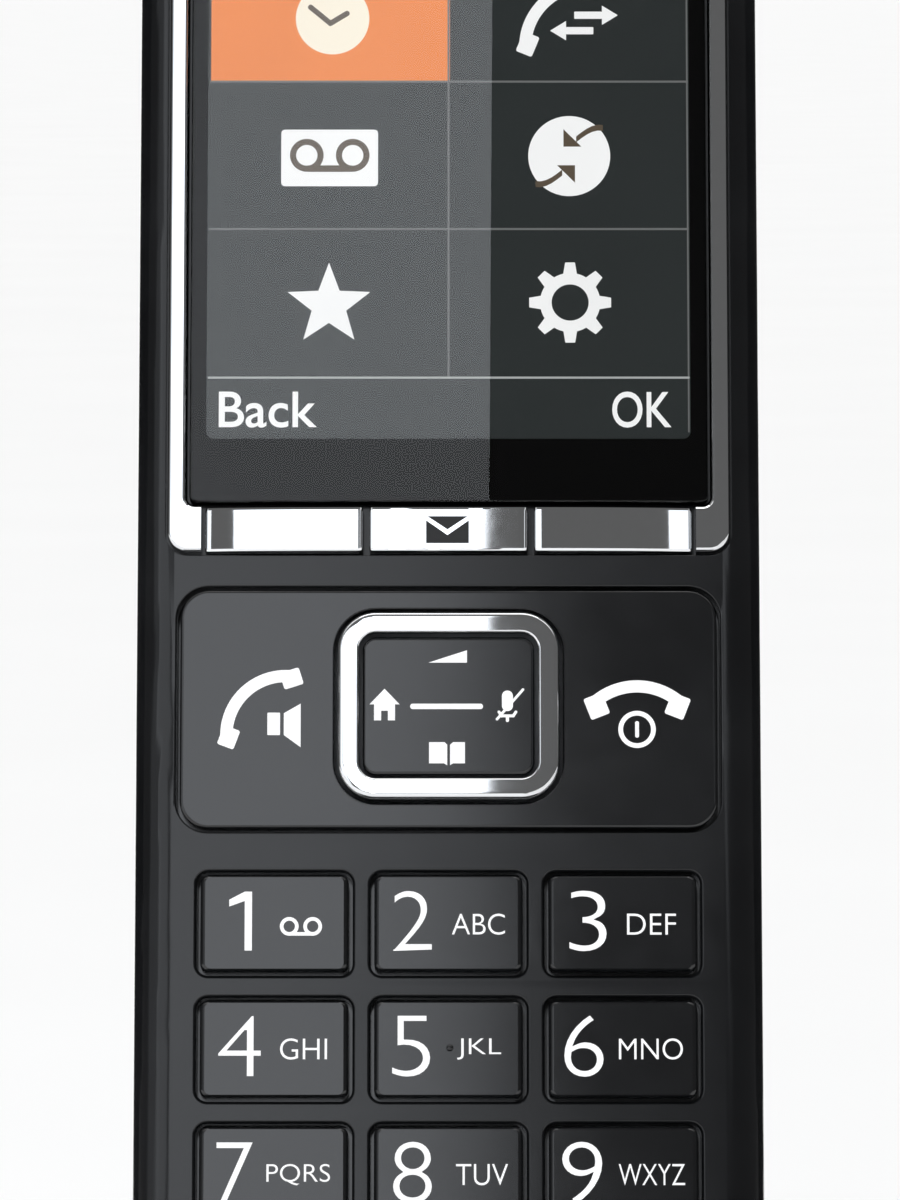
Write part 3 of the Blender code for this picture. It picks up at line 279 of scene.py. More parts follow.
class Graph:
    """A node tree being filled in."""

    def __init__(self, tree: bpy.types.NodeTree) -> None:
        """Starts on an empty tree."""
        self.tree = tree
        tree.nodes.clear()

    def node(self, kind: str, settings: dict | None = None, sockets: dict | None = None) -> Value | None:
        """Adds one node.

        Args:
            kind: The node's type.
            settings: Its properties, set first; "stops" is a list of (position, colour) for a ramp.
            sockets: Its inputs by name or number: a number, a tuple or a Value to link.

        Returns:
            The node's first output that is in use, or None for a node that has none.
        """
        made = self.tree.nodes.new(kind)
        for name, value in (settings or {}).items():
            if name == "stops":
                self._set_stops(made.color_ramp, value)
            else:
                setattr(made, name, value)
        for key, value in (sockets or {}).items():
            if isinstance(value, Value):
                self.tree.links.new(value.socket, made.inputs[key])
            else:
                made.inputs[key].default_value = value
        outputs = [socket for socket in made.outputs if socket.enabled]
        return Value(self, outputs[0]) if outputs else None

    @staticmethod
    def _set_stops(ramp: bpy.types.ColorRamp, stops: list[tuple[float, Colour]]) -> None:
        """Gives a colour ramp its stops.

        Args:
            ramp: The ramp.
            stops: (position, colour) for each stop.
        """
        while len(ramp.elements) < len(stops):
            ramp.elements.new(0.5)
        for element, (position, colour) in zip(ramp.elements, stops):
            element.position, element.color = position, (*colour, 1.0)

    def math(
        self, operation: str, first: Value | float, second: Value | float = 0.0, clamp: bool = False
    ) -> Value:
        """Adds one Math node.

        Args:
            operation: The node's operation.
            first: Its first value.
            second: Its second value.
            clamp: Whether the result is held between 0 and 1.

        Returns:
            The result.
        """
        settings = {"operation": operation, "use_clamp": clamp}
        return self.node("ShaderNodeMath", settings, {0: first, 1: second})

    def mix(self, factor: Value | float, first: Value | Colour, second: Value | Colour) -> Value:
        """Mixes two colours.

        Args:
            factor: How much of the second colour shows.
            first: The first colour.
            second: The second colour.

        Returns:
            The mixed colour.
        """
        ends = [value if isinstance(value, Value) else (*value, 1.0) for value in (first, second)]
        return self.node("ShaderNodeMix", {"data_type": "RGBA"}, {0: factor, 6: ends[0], 7: ends[1]})

    def along(self, place: Value, direction: Point3) -> Value:
        """Returns how far, in metres, a place lies along a direction."""
        return self.node(
            "ShaderNodeVectorMath", {"operation": "DOT_PRODUCT"}, {0: place, 1: direction}
        ).out("Value")

    def here(self) -> Value:
        """Returns the place on the piece, in metres of its own frame, which it keeps as it moves."""
        return self.node("ShaderNodeTexCoord").out("Object")

    def noise(self, place: Value, size: float, detail: float = 2.0, rough: float = 0.5) -> Value:
        """Adds a noise pattern.

        Args:
            place: Where it is read.
            size: Size of its features in millimetres.
            detail: How many finer layers it has.
            rough: How strong the finer layers are.

        Returns:
            The noise, about 0.5.
        """
        sockets = {"Vector": place, "Scale": 1 / (size * MM), "Detail": detail, "Roughness": rough}
        return self.node("ShaderNodeTexNoise", None, sockets).out("Fac")

    def relief(self, height: Value, depth: float) -> Value:
        """Returns the normal over a height pattern that is depth millimetres deep."""
        return self.node("ShaderNodeBump", None, {"Strength": 1.0, "Distance": depth * MM, "Height": height})

    def surface(self, sockets: dict) -> Value:
        """Returns a Principled surface with these inputs."""
        return self.node("ShaderNodeBsdfPrincipled", None, sockets)


# ---- Finishes ----
@dataclass(frozen=True)
class Finish:
    """What a piece's surface is. Each kind of finish fills in its own shader.

    Attributes:
        name: Name of the finish.
        slot: The record's material slot that it belongs to; it is not used.
    """

    name: str
    slot: str

    def shade(self, graph: Graph) -> Value:
        """Returns the surface shader."""
        raise NotImplementedError(self.name)

    def material(self) -> bpy.types.Material:
        """Returns the finish's material, made the first time that it is asked for."""
        found = bpy.data.materials.get(self.name)
        if found:
            return found
        made = bpy.data.materials.new(self.name)
        made.use_nodes = True
        graph = Graph(made.node_tree)
        graph.node("ShaderNodeOutputMaterial", None, {"Surface": self.shade(graph)})
        return made


@dataclass(frozen=True)
class MouldedPlastic(Finish):
    """Moulded plastic with a spark-eroded grain, a faint flow pattern and a little handling.

    Attributes:
        colour: Its own colour.
        handled: The colour where it has been handled.
        roughness: Roughness where it is clean.
        grain: Size of the grain in mm.
        depth: Depth of the grain in mm.
        specular: How strongly it mirrors.
    """

    colour: Colour = (0.006, 0.0063, 0.007)
    handled: Colour = (0.011, 0.0115, 0.0125)
    roughness: float = 0.2
    grain: float = 0.10
    depth: float = 0.0012
    specular: float = 0.5

    def shade(self, graph: Graph) -> Value:
        """Returns the surface shader."""
        here = graph.here()
        cloud = graph.noise(here, 14.0, 3.0, 0.6)
        flow = graph.noise(here, 2.6, 2.0)
        grain = graph.noise(here, self.grain, 1.0)
        smears = graph.math("MULTIPLY", cloud - 0.42, 3.2, clamp=True)
        return graph.surface(
            {
                "Base Color": graph.mix(smears, self.colour, self.handled),
                "Roughness": self.roughness + (cloud - 0.5) * 0.07 + (flow - 0.5) * 0.03,
                "Specular IOR Level": self.specular, "Normal": graph.relief(grain + flow * 0.4, self.depth)
            }
        )


@dataclass(frozen=True)
class PlatedPlastic(Finish):
    """Chrome plate on plastic: a faint ripple from the moulding under it, and a few soft wipe marks.

    Attributes:
        colour: The plate's colour.
        roughness: Roughness where it is clean.
    """

    colour: Colour = (0.80, 0.81, 0.82)
    roughness: float = 0.03

    def shade(self, graph: Graph) -> Value:
        """Returns the surface shader."""
        here = graph.here()
        ripple = graph.noise(here, 5.0, 1.0)
        wipes = graph.noise(here, 1.2, 3.0, 0.65)
        return graph.surface(
            {
                "Base Color": graph.mix(wipes, self.colour, tuple(0.93 * part for part in self.colour)),
                "Metallic": 1.0, "Roughness": self.roughness + (wipes - 0.5) * 0.03,
                "Normal": graph.relief(ripple, 0.0008)
            }
        )


@dataclass(frozen=True)
class ClearWindow(Finish):
    """The display's clear window, coated so that it mirrors less than bare plastic does.

    Attributes:
        ior: How strongly it bends and mirrors light.
    """

    ior: float = 1.36

    def shade(self, graph: Graph) -> Value:
        """Returns the surface shader."""
        dust = graph.noise(graph.here(), 3.0, 4.0, 0.7)
        return graph.surface(
            {
                "Base Color": (1.0, 1.0, 1.0, 1.0),
                "Roughness": graph.math("MULTIPLY", dust - 0.45, 0.02, clamp=True), "IOR": self.ior,
                "Transmission Weight": 1.0
            }
        )


@dataclass(frozen=True)
class WindowPrint(Finish):
    """The black print on the window's back, round the picture."""

    def shade(self, graph: Graph) -> Value:
        """Returns the surface shader."""
        speck = graph.noise(graph.here(), 0.4, 2.0)
        return graph.surface(
            {
                "Base Color": graph.mix(speck, (0.0008, 0.0008, 0.0009), (0.0016, 0.0016, 0.0018)),
                "Roughness": 0.8, "Specular IOR Level": 0.0
            }
        )


@dataclass(frozen=True)
class Glow(Finish):
    """A glowing surface: part of the display's picture, or a printed legend whose glow is painted light, with
    no lamp behind it.

    Attributes:
        colour: The colour that it glows.
        body: The colour that it has with no lamp.
        roughness: How matt it is.
        unevenness: How much the light varies over it.
        spread: Size of the variation in mm.
    """

    colour: Colour = (0.9, 0.9, 0.9)
    body: Colour = (0.0, 0.0, 0.0)
    roughness: float = 0.6
    unevenness: float = 0.06
    spread: float = 9.0

    def shade(self, graph: Graph) -> Value:
        """Returns the surface shader."""
        cloud = graph.noise(graph.here(), self.spread, 1.0)
        faint = tuple(part * (1 - 2 * self.unevenness) for part in self.colour)
        return graph.surface(
            {
                "Base Color": (*self.body, 1.0), "Roughness": self.roughness, "Specular IOR Level": 0.15,
                "Emission Color": graph.mix(cloud, faint, self.colour), "Emission Strength": 1.0
            }
        )


@dataclass(frozen=True)
class Metal(Finish):
    """Bare metal with its drawing lines along X and a little tarnish.

    Attributes:
        colour: The clean metal.
        tarnish: The metal where it has dulled.
        roughness: Roughness where it is clean.
    """

    colour: Colour = (0.72, 0.70, 0.64)
    tarnish: Colour = (0.50, 0.47, 0.40)
    roughness: float = 0.28

    def shade(self, graph: Graph) -> Value:
        """Returns the surface shader."""
        here = graph.here()
        stretched = graph.node("ShaderNodeMapping", None, {"Vector": here, "Scale": (0.04, 1.0, 1.0)})
        lines = graph.noise(stretched, 0.15, 2.0)
        patches = graph.noise(here, 2.2, 3.0, 0.6)
        return graph.surface(
            {
                "Base Color": graph.mix(patches, self.colour, self.tarnish), "Metallic": 1.0,
                "Roughness": self.roughness + (lines - 0.5) * 0.12 + (patches - 0.5) * 0.1,
                "Normal": graph.relief(lines, 0.002)
            }
        )


@dataclass(frozen=True)
class Rubber(Finish):
    """Soft moulded rubber or silicone with a fine tooth.

    Attributes:
        colour: Its own colour.
        dusty: The colour where dust sits in it.
        roughness: Roughness where it is clean.
    """

    colour: Colour = (0.018, 0.018, 0.019)
    dusty: Colour = (0.05, 0.05, 0.05)
    roughness: float = 0.75

    def shade(self, graph: Graph) -> Value:
        """Returns the surface shader."""
        here = graph.here()
        dust = graph.noise(here, 3.0, 4.0, 0.7)
        tooth = graph.noise(here, 0.12, 2.0)
        return graph.surface(
            {
                "Base Color": graph.mix(dust * 0.7, self.colour, self.dusty),
                "Roughness": self.roughness + (dust - 0.5) * 0.15, "Specular IOR Level": 0.3,
                "Normal": graph.relief(tooth, 0.006)
            }
        )


@dataclass(frozen=True)
class CircuitBoard(Finish):
    """Solder mask over copper tracks on glass cloth."""

    def shade(self, graph: Graph) -> Value:
        """Returns the surface shader."""
        here = graph.here()
        settings = {"feature": "F1", "distance": "MANHATTAN"}
        cells = graph.node("ShaderNodeTexVoronoi", settings, {"Vector": here, "Scale": 420.0}).out("Color")
        parts = graph.node("ShaderNodeSeparateColor", None, {"Color": cells})
        tracks = graph.math("GREATER_THAN", parts, 0.55)
        weave = graph.noise(here, 0.3, 1.0)
        return graph.surface(
            {
                "Base Color": graph.mix(
                    tracks * 0.6 + weave * 0.2, (0.008, 0.075, 0.032), (0.03, 0.19, 0.075)
                ),
                "Roughness": 0.3 + weave * 0.12, "Normal": graph.relief(tracks + weave * 0.15, 0.03)
            }
        )


@dataclass(frozen=True)
class CellWrap(Finish):
    """The printed film round a rechargeable cell: a pale band at one end of a coloured body.

    Attributes:
        axis: The cell's direction in the world.
        band: Where along that direction the pale band starts, in mm.
    """

    axis: Point3 = (0.0, 0.0, 1.0)
    band: float = 0.0

    def shade(self, graph: Graph) -> Value:
        """Returns the surface shader."""
        here = graph.here()
        past = graph.math("GREATER_THAN", graph.along(here, self.axis), self.band * MM)
        scuffs = graph.noise(here, 1.5, 4.0, 0.65)
        film = graph.mix(past, (0.03, 0.22, 0.09), (0.62, 0.63, 0.62))
        return graph.surface(
            {
                "Base Color": graph.mix(scuffs * 0.25, film, (0.30, 0.33, 0.30)),
                "Roughness": 0.24 + scuffs * 0.16
            }
        )


@dataclass(frozen=True)
class PaleFloor(Finish):
    """The plain pale floor, with an even, very faint mottle."""

    def shade(self, graph: Graph) -> Value:
        """Returns the surface shader."""
        mottle = graph.noise(graph.here(), 90.0, 2.0)
        return graph.surface(
            {
                "Base Color": graph.mix(mottle, (0.90, 0.90, 0.90), (0.93, 0.93, 0.93)), "Roughness": 0.9,
                "Specular IOR Level": 0.1
            }
        )


CASING = MouldedPlastic("casing_plastic", "casing_black", roughness=0.175, specular=0.42)
BASE_CASING = MouldedPlastic("base_plastic", "base_black", roughness=0.26, specular=0.42, depth=0.002)
KEY_CAPS = MouldedPlastic("key_plastic", "key_black", grain=0.07, depth=0.0007, roughness=0.11, specular=0.6)
SOCKET_PLASTIC = MouldedPlastic(
    "socket_shell", "socket_plastic", (0.03, 0.03, 0.032), (0.05, 0.05, 0.052), 0.4
)
CHROME = PlatedPlastic("chrome_plate", "chrome")
WINDOW = ClearWindow("clear_window", "window")
WINDOW_BLACK = WindowPrint("window_print", "window")
# Painted glow: the white print on the keys, the call and end plate, the navigation pad and the page key is
# given emission, though no lamp lights it from behind.
LEGEND_PAINTED_GLOW = Glow("legend_white_painted_glow", "key_black", (0.66, 0.66, 0.66), (0.55, 0.55, 0.55), 0.5)
ENVELOPE_PRINT = MouldedPlastic("envelope_print", "key_black", (0.012, 0.012, 0.013), (0.02, 0.02, 0.02), 0.5)
PICTURE_DARK = Glow("picture_dark", "display", (0.017, 0.0215, 0.0215))
PICTURE_LINE = Glow("picture_line", "display", (0.15, 0.155, 0.155))
PICTURE_BRIGHT_LINE = Glow("picture_bright_line", "display", (0.40, 0.42, 0.42))
PICTURE_ORANGE = Glow("picture_orange", "display", (0.86, 0.235, 0.035))
PICTURE_WHITE = Glow("picture_white", "display", (0.97, 0.98, 0.98))
PICTURE_CREAM = Glow("picture_cream", "display", (0.98, 0.90, 0.74))
PICTURE_MARK = Glow("picture_mark", "display", (0.10, 0.075, 0.05))
SPRING_METAL = Metal("spring_metal_bare", "spring_metal")
GOLD_PLATE = Metal("gold_plated_contact", "spring_metal", (0.83, 0.62, 0.28), (0.66, 0.46, 0.18), 0.2)
PRESSED_STEEL = Metal("pressed_steel_bare", "pressed_steel", (0.55, 0.55, 0.56), (0.38, 0.38, 0.38), 0.32)
SCREW_STEEL = Metal("screw_steel_dark", "screw_steel", (0.16, 0.16, 0.17), (0.08, 0.08, 0.08), 0.3)
GRILLE_STEEL = Metal("grille_steel_black", "pressed_steel", (0.045, 0.045, 0.048), (0.03, 0.03, 0.03), 0.35)
SILICONE = Rubber("key_mat_silicone", "silicone", (0.52, 0.53, 0.55), (0.44, 0.45, 0.46), 0.6)
FOOT_RUBBER = Rubber("foot_rubber_black", "foot_rubber")
BOARD = CircuitBoard("circuit_board_green", "circuit_board")
FLOOR = PaleFloor("floor_pale", "floor")
FLAG_CLOTH = Rubber("flag_cloth", "floor", (0.01, 0.01, 0.01), (0.015, 0.015, 0.015), 0.9)


# ---- The bench: where meshes are made ----
@dataclass(frozen=True)
class LocalFrame:
    """Where a part's own frame stands in the world.

    Attributes:
        origin: Its origin in mm.
        lean: How far it turns about X, in radians.
    """

    origin: Point3 = (0.0, 0.0, 0.0)
    lean: float = 0.0

    def matrix(self) -> Matrix:
        """Returns the step from the frame to the world, both in millimetres."""
        return Matrix.Translation(self.origin) @ Matrix.Rotation(self.lean, 4, "X")

    def direction(self, vector: Point3) -> Point3:
        """Returns one of the frame's directions as a direction in the world."""
        return tuple(self.matrix().to_3x3() @ Vector(vector))


class Piece:
    """A closed mesh on the bench, in world millimetres, until dress() makes it part of the phone."""

    def __init__(self, mesh: bpy.types.Mesh, frame: LocalFrame) -> None:
        """Puts the mesh on the bench as an object."""
        self.frame = frame
        self.obj = bpy.data.objects.new(mesh.name, mesh)
        bpy.context.scene.collection.objects.link(self.obj)

    def discard(self) -> None:
        """Takes a helper off the bench."""
        bpy.data.objects.remove(self.obj)

    def _apply(self) -> None:
        """Turns the waiting modifiers into mesh."""
        graph = bpy.context.evaluated_depsgraph_get()
        mesh = bpy.data.meshes.new_from_object(self.obj.evaluated_get(graph), depsgraph=graph)
        self.obj.modifiers.clear()
        self.obj.data = mesh

    def _combine(self, operation: str, others: "Sequence[Piece]") -> "Piece":
        """Combines this piece with helpers, which are used up.

        Args:
            operation: The Boolean operation.
            others: The helpers.

        Returns:
            This piece.
        """
        for other in others:
            change = self.obj.modifiers.new(other.obj.name, "BOOLEAN")
            change.operation, change.solver, change.object = operation, "EXACT", other.obj
        self._apply()
        for other in others:
            other.discard()
        return self

    def cut(self, *others: "Piece") -> "Piece":
        """Cuts the helpers away and returns this piece."""
        return self._combine("DIFFERENCE", others)

    def join(self, *others: "Piece") -> "Piece":
        """Joins the helpers on and returns this piece."""
        return self._combine("UNION", others)

    def keep_within(self, other: "Piece") -> "Piece":
        """Keeps only what lies inside the helper and returns this piece."""
        return self._combine("INTERSECT", [other])

    def round_edges(self, width: float, steps: int = 2, angle: float = 40.0) -> "Piece":
        """Rounds every edge sharper than an angle.

        Args:
            width: How much of each side the round takes, in mm.
            steps: Steps round the edge.
            angle: The angle in degrees.

        Returns:
            This piece.
        """
        change = self.obj.modifiers.new("round", "BEVEL")
        change.width, change.segments, change.angle_limit = width, steps, math.radians(angle)
        change.limit_method, change.use_clamp_overlap = "ANGLE", True
        self._apply()
        return self

    def merge_flats(self) -> "Piece":
        """Joins neighbouring faces that lie in one plane, and returns this piece."""
        work = bmesh.new()
        work.from_mesh(self.obj.data)
        bmesh.ops.remove_doubles(work, verts=work.verts, dist=WELD_GAP)
        bmesh.ops.dissolve_limit(work, angle_limit=ONE_PLANE, verts=work.verts, edges=work.edges)
        work.to_mesh(self.obj.data)
        work.free()
        return self

    def _clean(self, merge: bool) -> None:
        """Tidies the mesh and moves it into metres.

        Edges are sharp where the surface turns hard, and where a wide face meets a narrow one at a slant, so
        that a flat stays flat right up to its rounded edge.

        Args:
            merge: Whether flat neighbours are merged.
        """
        work = bmesh.new()
        work.from_mesh(self.obj.data)
        bmesh.ops.remove_doubles(work, verts=work.verts, dist=WELD_GAP)
        bmesh.ops.dissolve_degenerate(work, edges=work.edges, dist=THIN_EDGE)
        if merge:
            bmesh.ops.dissolve_limit(work, angle_limit=ONE_PLANE, verts=work.verts, edges=work.edges)
        bmesh.ops.recalc_face_normals(work, faces=work.faces)
        areas = {face: face.calc_area() for face in work.faces}
        for face in work.faces:
            face.smooth = True
        for edge in work.edges:
            angle = edge.calc_face_angle(math.pi)
            sides = [areas[face] for face in edge.link_faces]
            edge.smooth = angle < CREASE and not (angle > SLANT and max(sides) > WIDE_SHARE * min(sides))
        work.transform(Matrix.Scale(MM, 4))
        work.to_mesh(self.obj.data)
        work.free()

    def dress(
        self, finish: Finish, body: str, *replaced: str,
        paint: "Sequence[tuple[Finish, Callable[[Vector, Vector], bool]]]" = ()
    ) -> bpy.types.Object:
        """Gives the piece its finish and fixes it to a body.

        Args:
            finish: Its finish.
            body: The body that it rides on.
            *replaced: The frame's solids that it stands for.
            paint: Further finishes, each with a test of a face's centre and normal in the piece's own frame.

        Returns:
            The finished object.
        """
        self._clean(merge=not paint)
        mesh = self.obj.data
        mesh.materials.clear()
        for each in (finish, *(extra for extra, _ in paint)):
            mesh.materials.append(each.material())
        back = self.frame.matrix().inverted() @ Matrix.Scale(1 / MM, 4)
        turn = self.frame.matrix().to_3x3().inverted()
        for face in mesh.polygons if paint else ():
            for index, (_, test) in enumerate(paint, 1):
                if test(back @ face.center, turn @ face.normal):
                    face.material_index = index
        change = self.obj.modifiers.new("weighted", "WEIGHTED_NORMAL")
        change.keep_sharp = True
        self._apply()
        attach(self.obj, body)
        if replaced:
            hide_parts(*replaced)
        LOG.info("%s: %d faces on %s", self.obj.name, len(self.obj.data.polygons), body)
        return self.obj


class Bench:
    """Makes closed meshes in one frame."""

    def __init__(self, frame: LocalFrame) -> None:
        """Works in this frame."""
        self.frame = frame

    def solid(self, name: str, points: Sequence[Point3], faces: Sequence[tuple[int, ...]]) -> Piece:
        """A closed mesh with its faces turned out.

        Args:
            name: Its name.
            points: Its points in the frame.
            faces: Its faces.

        Returns:
            The piece.
        """
        mesh = bpy.data.meshes.new(name)
        mesh.from_pydata(points, [], faces)
        work = bmesh.new()
        work.from_mesh(mesh)
        work.transform(self.frame.matrix())
        bmesh.ops.triangulate(work, faces=[face for face in work.faces if len(face.verts) > 4])
        bmesh.ops.recalc_face_normals(work, faces=work.faces)
        work.to_mesh(mesh)
        work.free()
        return Piece(mesh, self.frame)

    @staticmethod
    def _skin(first: int, count: int, levels: int) -> list[tuple[int, ...]]:
        """The faces over mirrored loops of points, the first and last of them filled.

        Args:
            first: Number of the first point.
            count: How many points each loop has.
            levels: How many loops there are.

        Returns:
            The faces.
        """
        faces, last = [], first + (levels - 1) * count
        for low in range(first, last, count):
            for k in range(count):
                after = (k + 1) % count
                faces.append((low + k, low + after, low + count + after, low + count + k))
        for cap in (first, last):
            for k in range(count // 2 - 1):
                faces.append((cap + k, cap + k + 1, cap + count - 2 - k, cap + count - 1 - k))
        return faces

    def loft(self, name: str, loops: Sequence[Sequence[Point3]]) -> Piece:
        """Returns a solid over loops of equally many points, each mirrored as an outline is."""
        points = [point for loop in loops for point in loop]
        return self.solid(name, points, self._skin(0, len(loops[0]), len(loops)))

    def stack(
        self, name: str, outline: Outline, profile: Profile, plane: Plane = Plane.FACE,
        centres: Sequence[Point2] = ((0.0, 0.0),), warp: Callable[[float, float, float], Point3] | None = None
    ) -> Piece:
        """A solid whose outline changes along its depth.

        Args:
            name: Its name.
            outline: Its outline for any inset.
            profile: (depth, inset) steps; a depth can be a function of the outline's two coordinates.
            plane: The plane of its outline.
            centres: Where its copies stand.
            warp: A last change to every point.

        Returns:
            The piece.
        """
        points: list[Point3] = []
        faces: list[tuple[int, ...]] = []
        for centre_a, centre_b in centres:
            first = len(points)
            for depth, inset in profile:
                for a, b in outline(inset):
                    a, b = a + centre_a, b + centre_b
                    here = depth(a, b) if callable(depth) else depth
                    points.append((a, here, b) if plane is Plane.FACE else (a, b, here))
            faces += self._skin(first, (len(points) - first) // len(profile), len(profile))
        if warp:
            points = [warp(*point) for point in points]
        return self.solid(name, points, faces)

    def block(self, name: str, x_range: Point2, y_range: Point2, z_range: Point2) -> Piece:
        """Returns a straight block between three ranges, used only as a cutter or a core."""
        points = [(x, y, z) for z in z_range for y in y_range for x in x_range]
        faces = [(0, 1, 3, 2), (4, 5, 7, 6), (0, 1, 5, 4), (2, 3, 7, 6), (0, 2, 6, 4), (1, 3, 7, 5)]
        return self.solid(name, points, faces)

    def strip(self, name: str, profile: Sequence[Point2], x_ranges: Sequence[Point2]) -> Piece:
        """A polygon in Y and Z, extruded along X.

        Args:
            name: Its name.
            profile: The polygon.
            x_ranges: The range of each copy.

        Returns:
            The piece.
        """
        points: list[Point3] = []
        faces: list[tuple[int, ...]] = []
        count = len(profile)
        for x_range in x_ranges:
            first = len(points)
            points += [(x, y, z) for x in x_range for y, z in profile]
            faces += [tuple(range(first, first + count)), tuple(range(first + count, first + 2 * count))]
            for k in range(count):
                after = (k + 1) % count
                faces.append((first + k, first + after, first + count + after, first + count + k))
        return self.solid(name, points, faces)

    def bent_sheet(
        self, name: str, line: Sequence[Point2], thickness: float, x_range: Point2, bend: float
    ) -> Piece:
        """A sheet-metal strip that follows a line in Y and Z round smooth bends.

        Args:
            name: Its name.
            line: The corners of its outer side.
            thickness: Thickness of the sheet, towards the line's left.
            x_range: Its two edges along X.
            bend: Outer radius of its bends.

        Returns:
            The piece.
        """
        corners = [Vector(point) for point in line]
        outer: list[tuple[Vector, Vector]] = []
        for k, corner in enumerate(corners):
            before = (corner - corners[k - 1]).normalized() if k else None
            after = (corners[k + 1] - corner).normalized() if k + 1 < len(corners) else None
            if before is None or after is None:
                run = after or before
                outer.append((corner, Vector((-run.y, run.x))))
                continue
            for step in range(BEND_STEPS + 1):
                share = step / BEND_STEPS
                start, end = corner - before * bend, corner + after * bend
                point = start * (1 - share) ** 2 + corner * (2 * share * (1 - share)) + end * share**2
                run = (before * (1 - share) + after * share).normalized()
                outer.append((point, Vector((-run.y, run.x))))
        profile = [tuple(point) for point, _ in outer]
        profile += [tuple(point + left * thickness) for point, left in reversed(outer)]
        return self.strip(name, profile, [x_range])


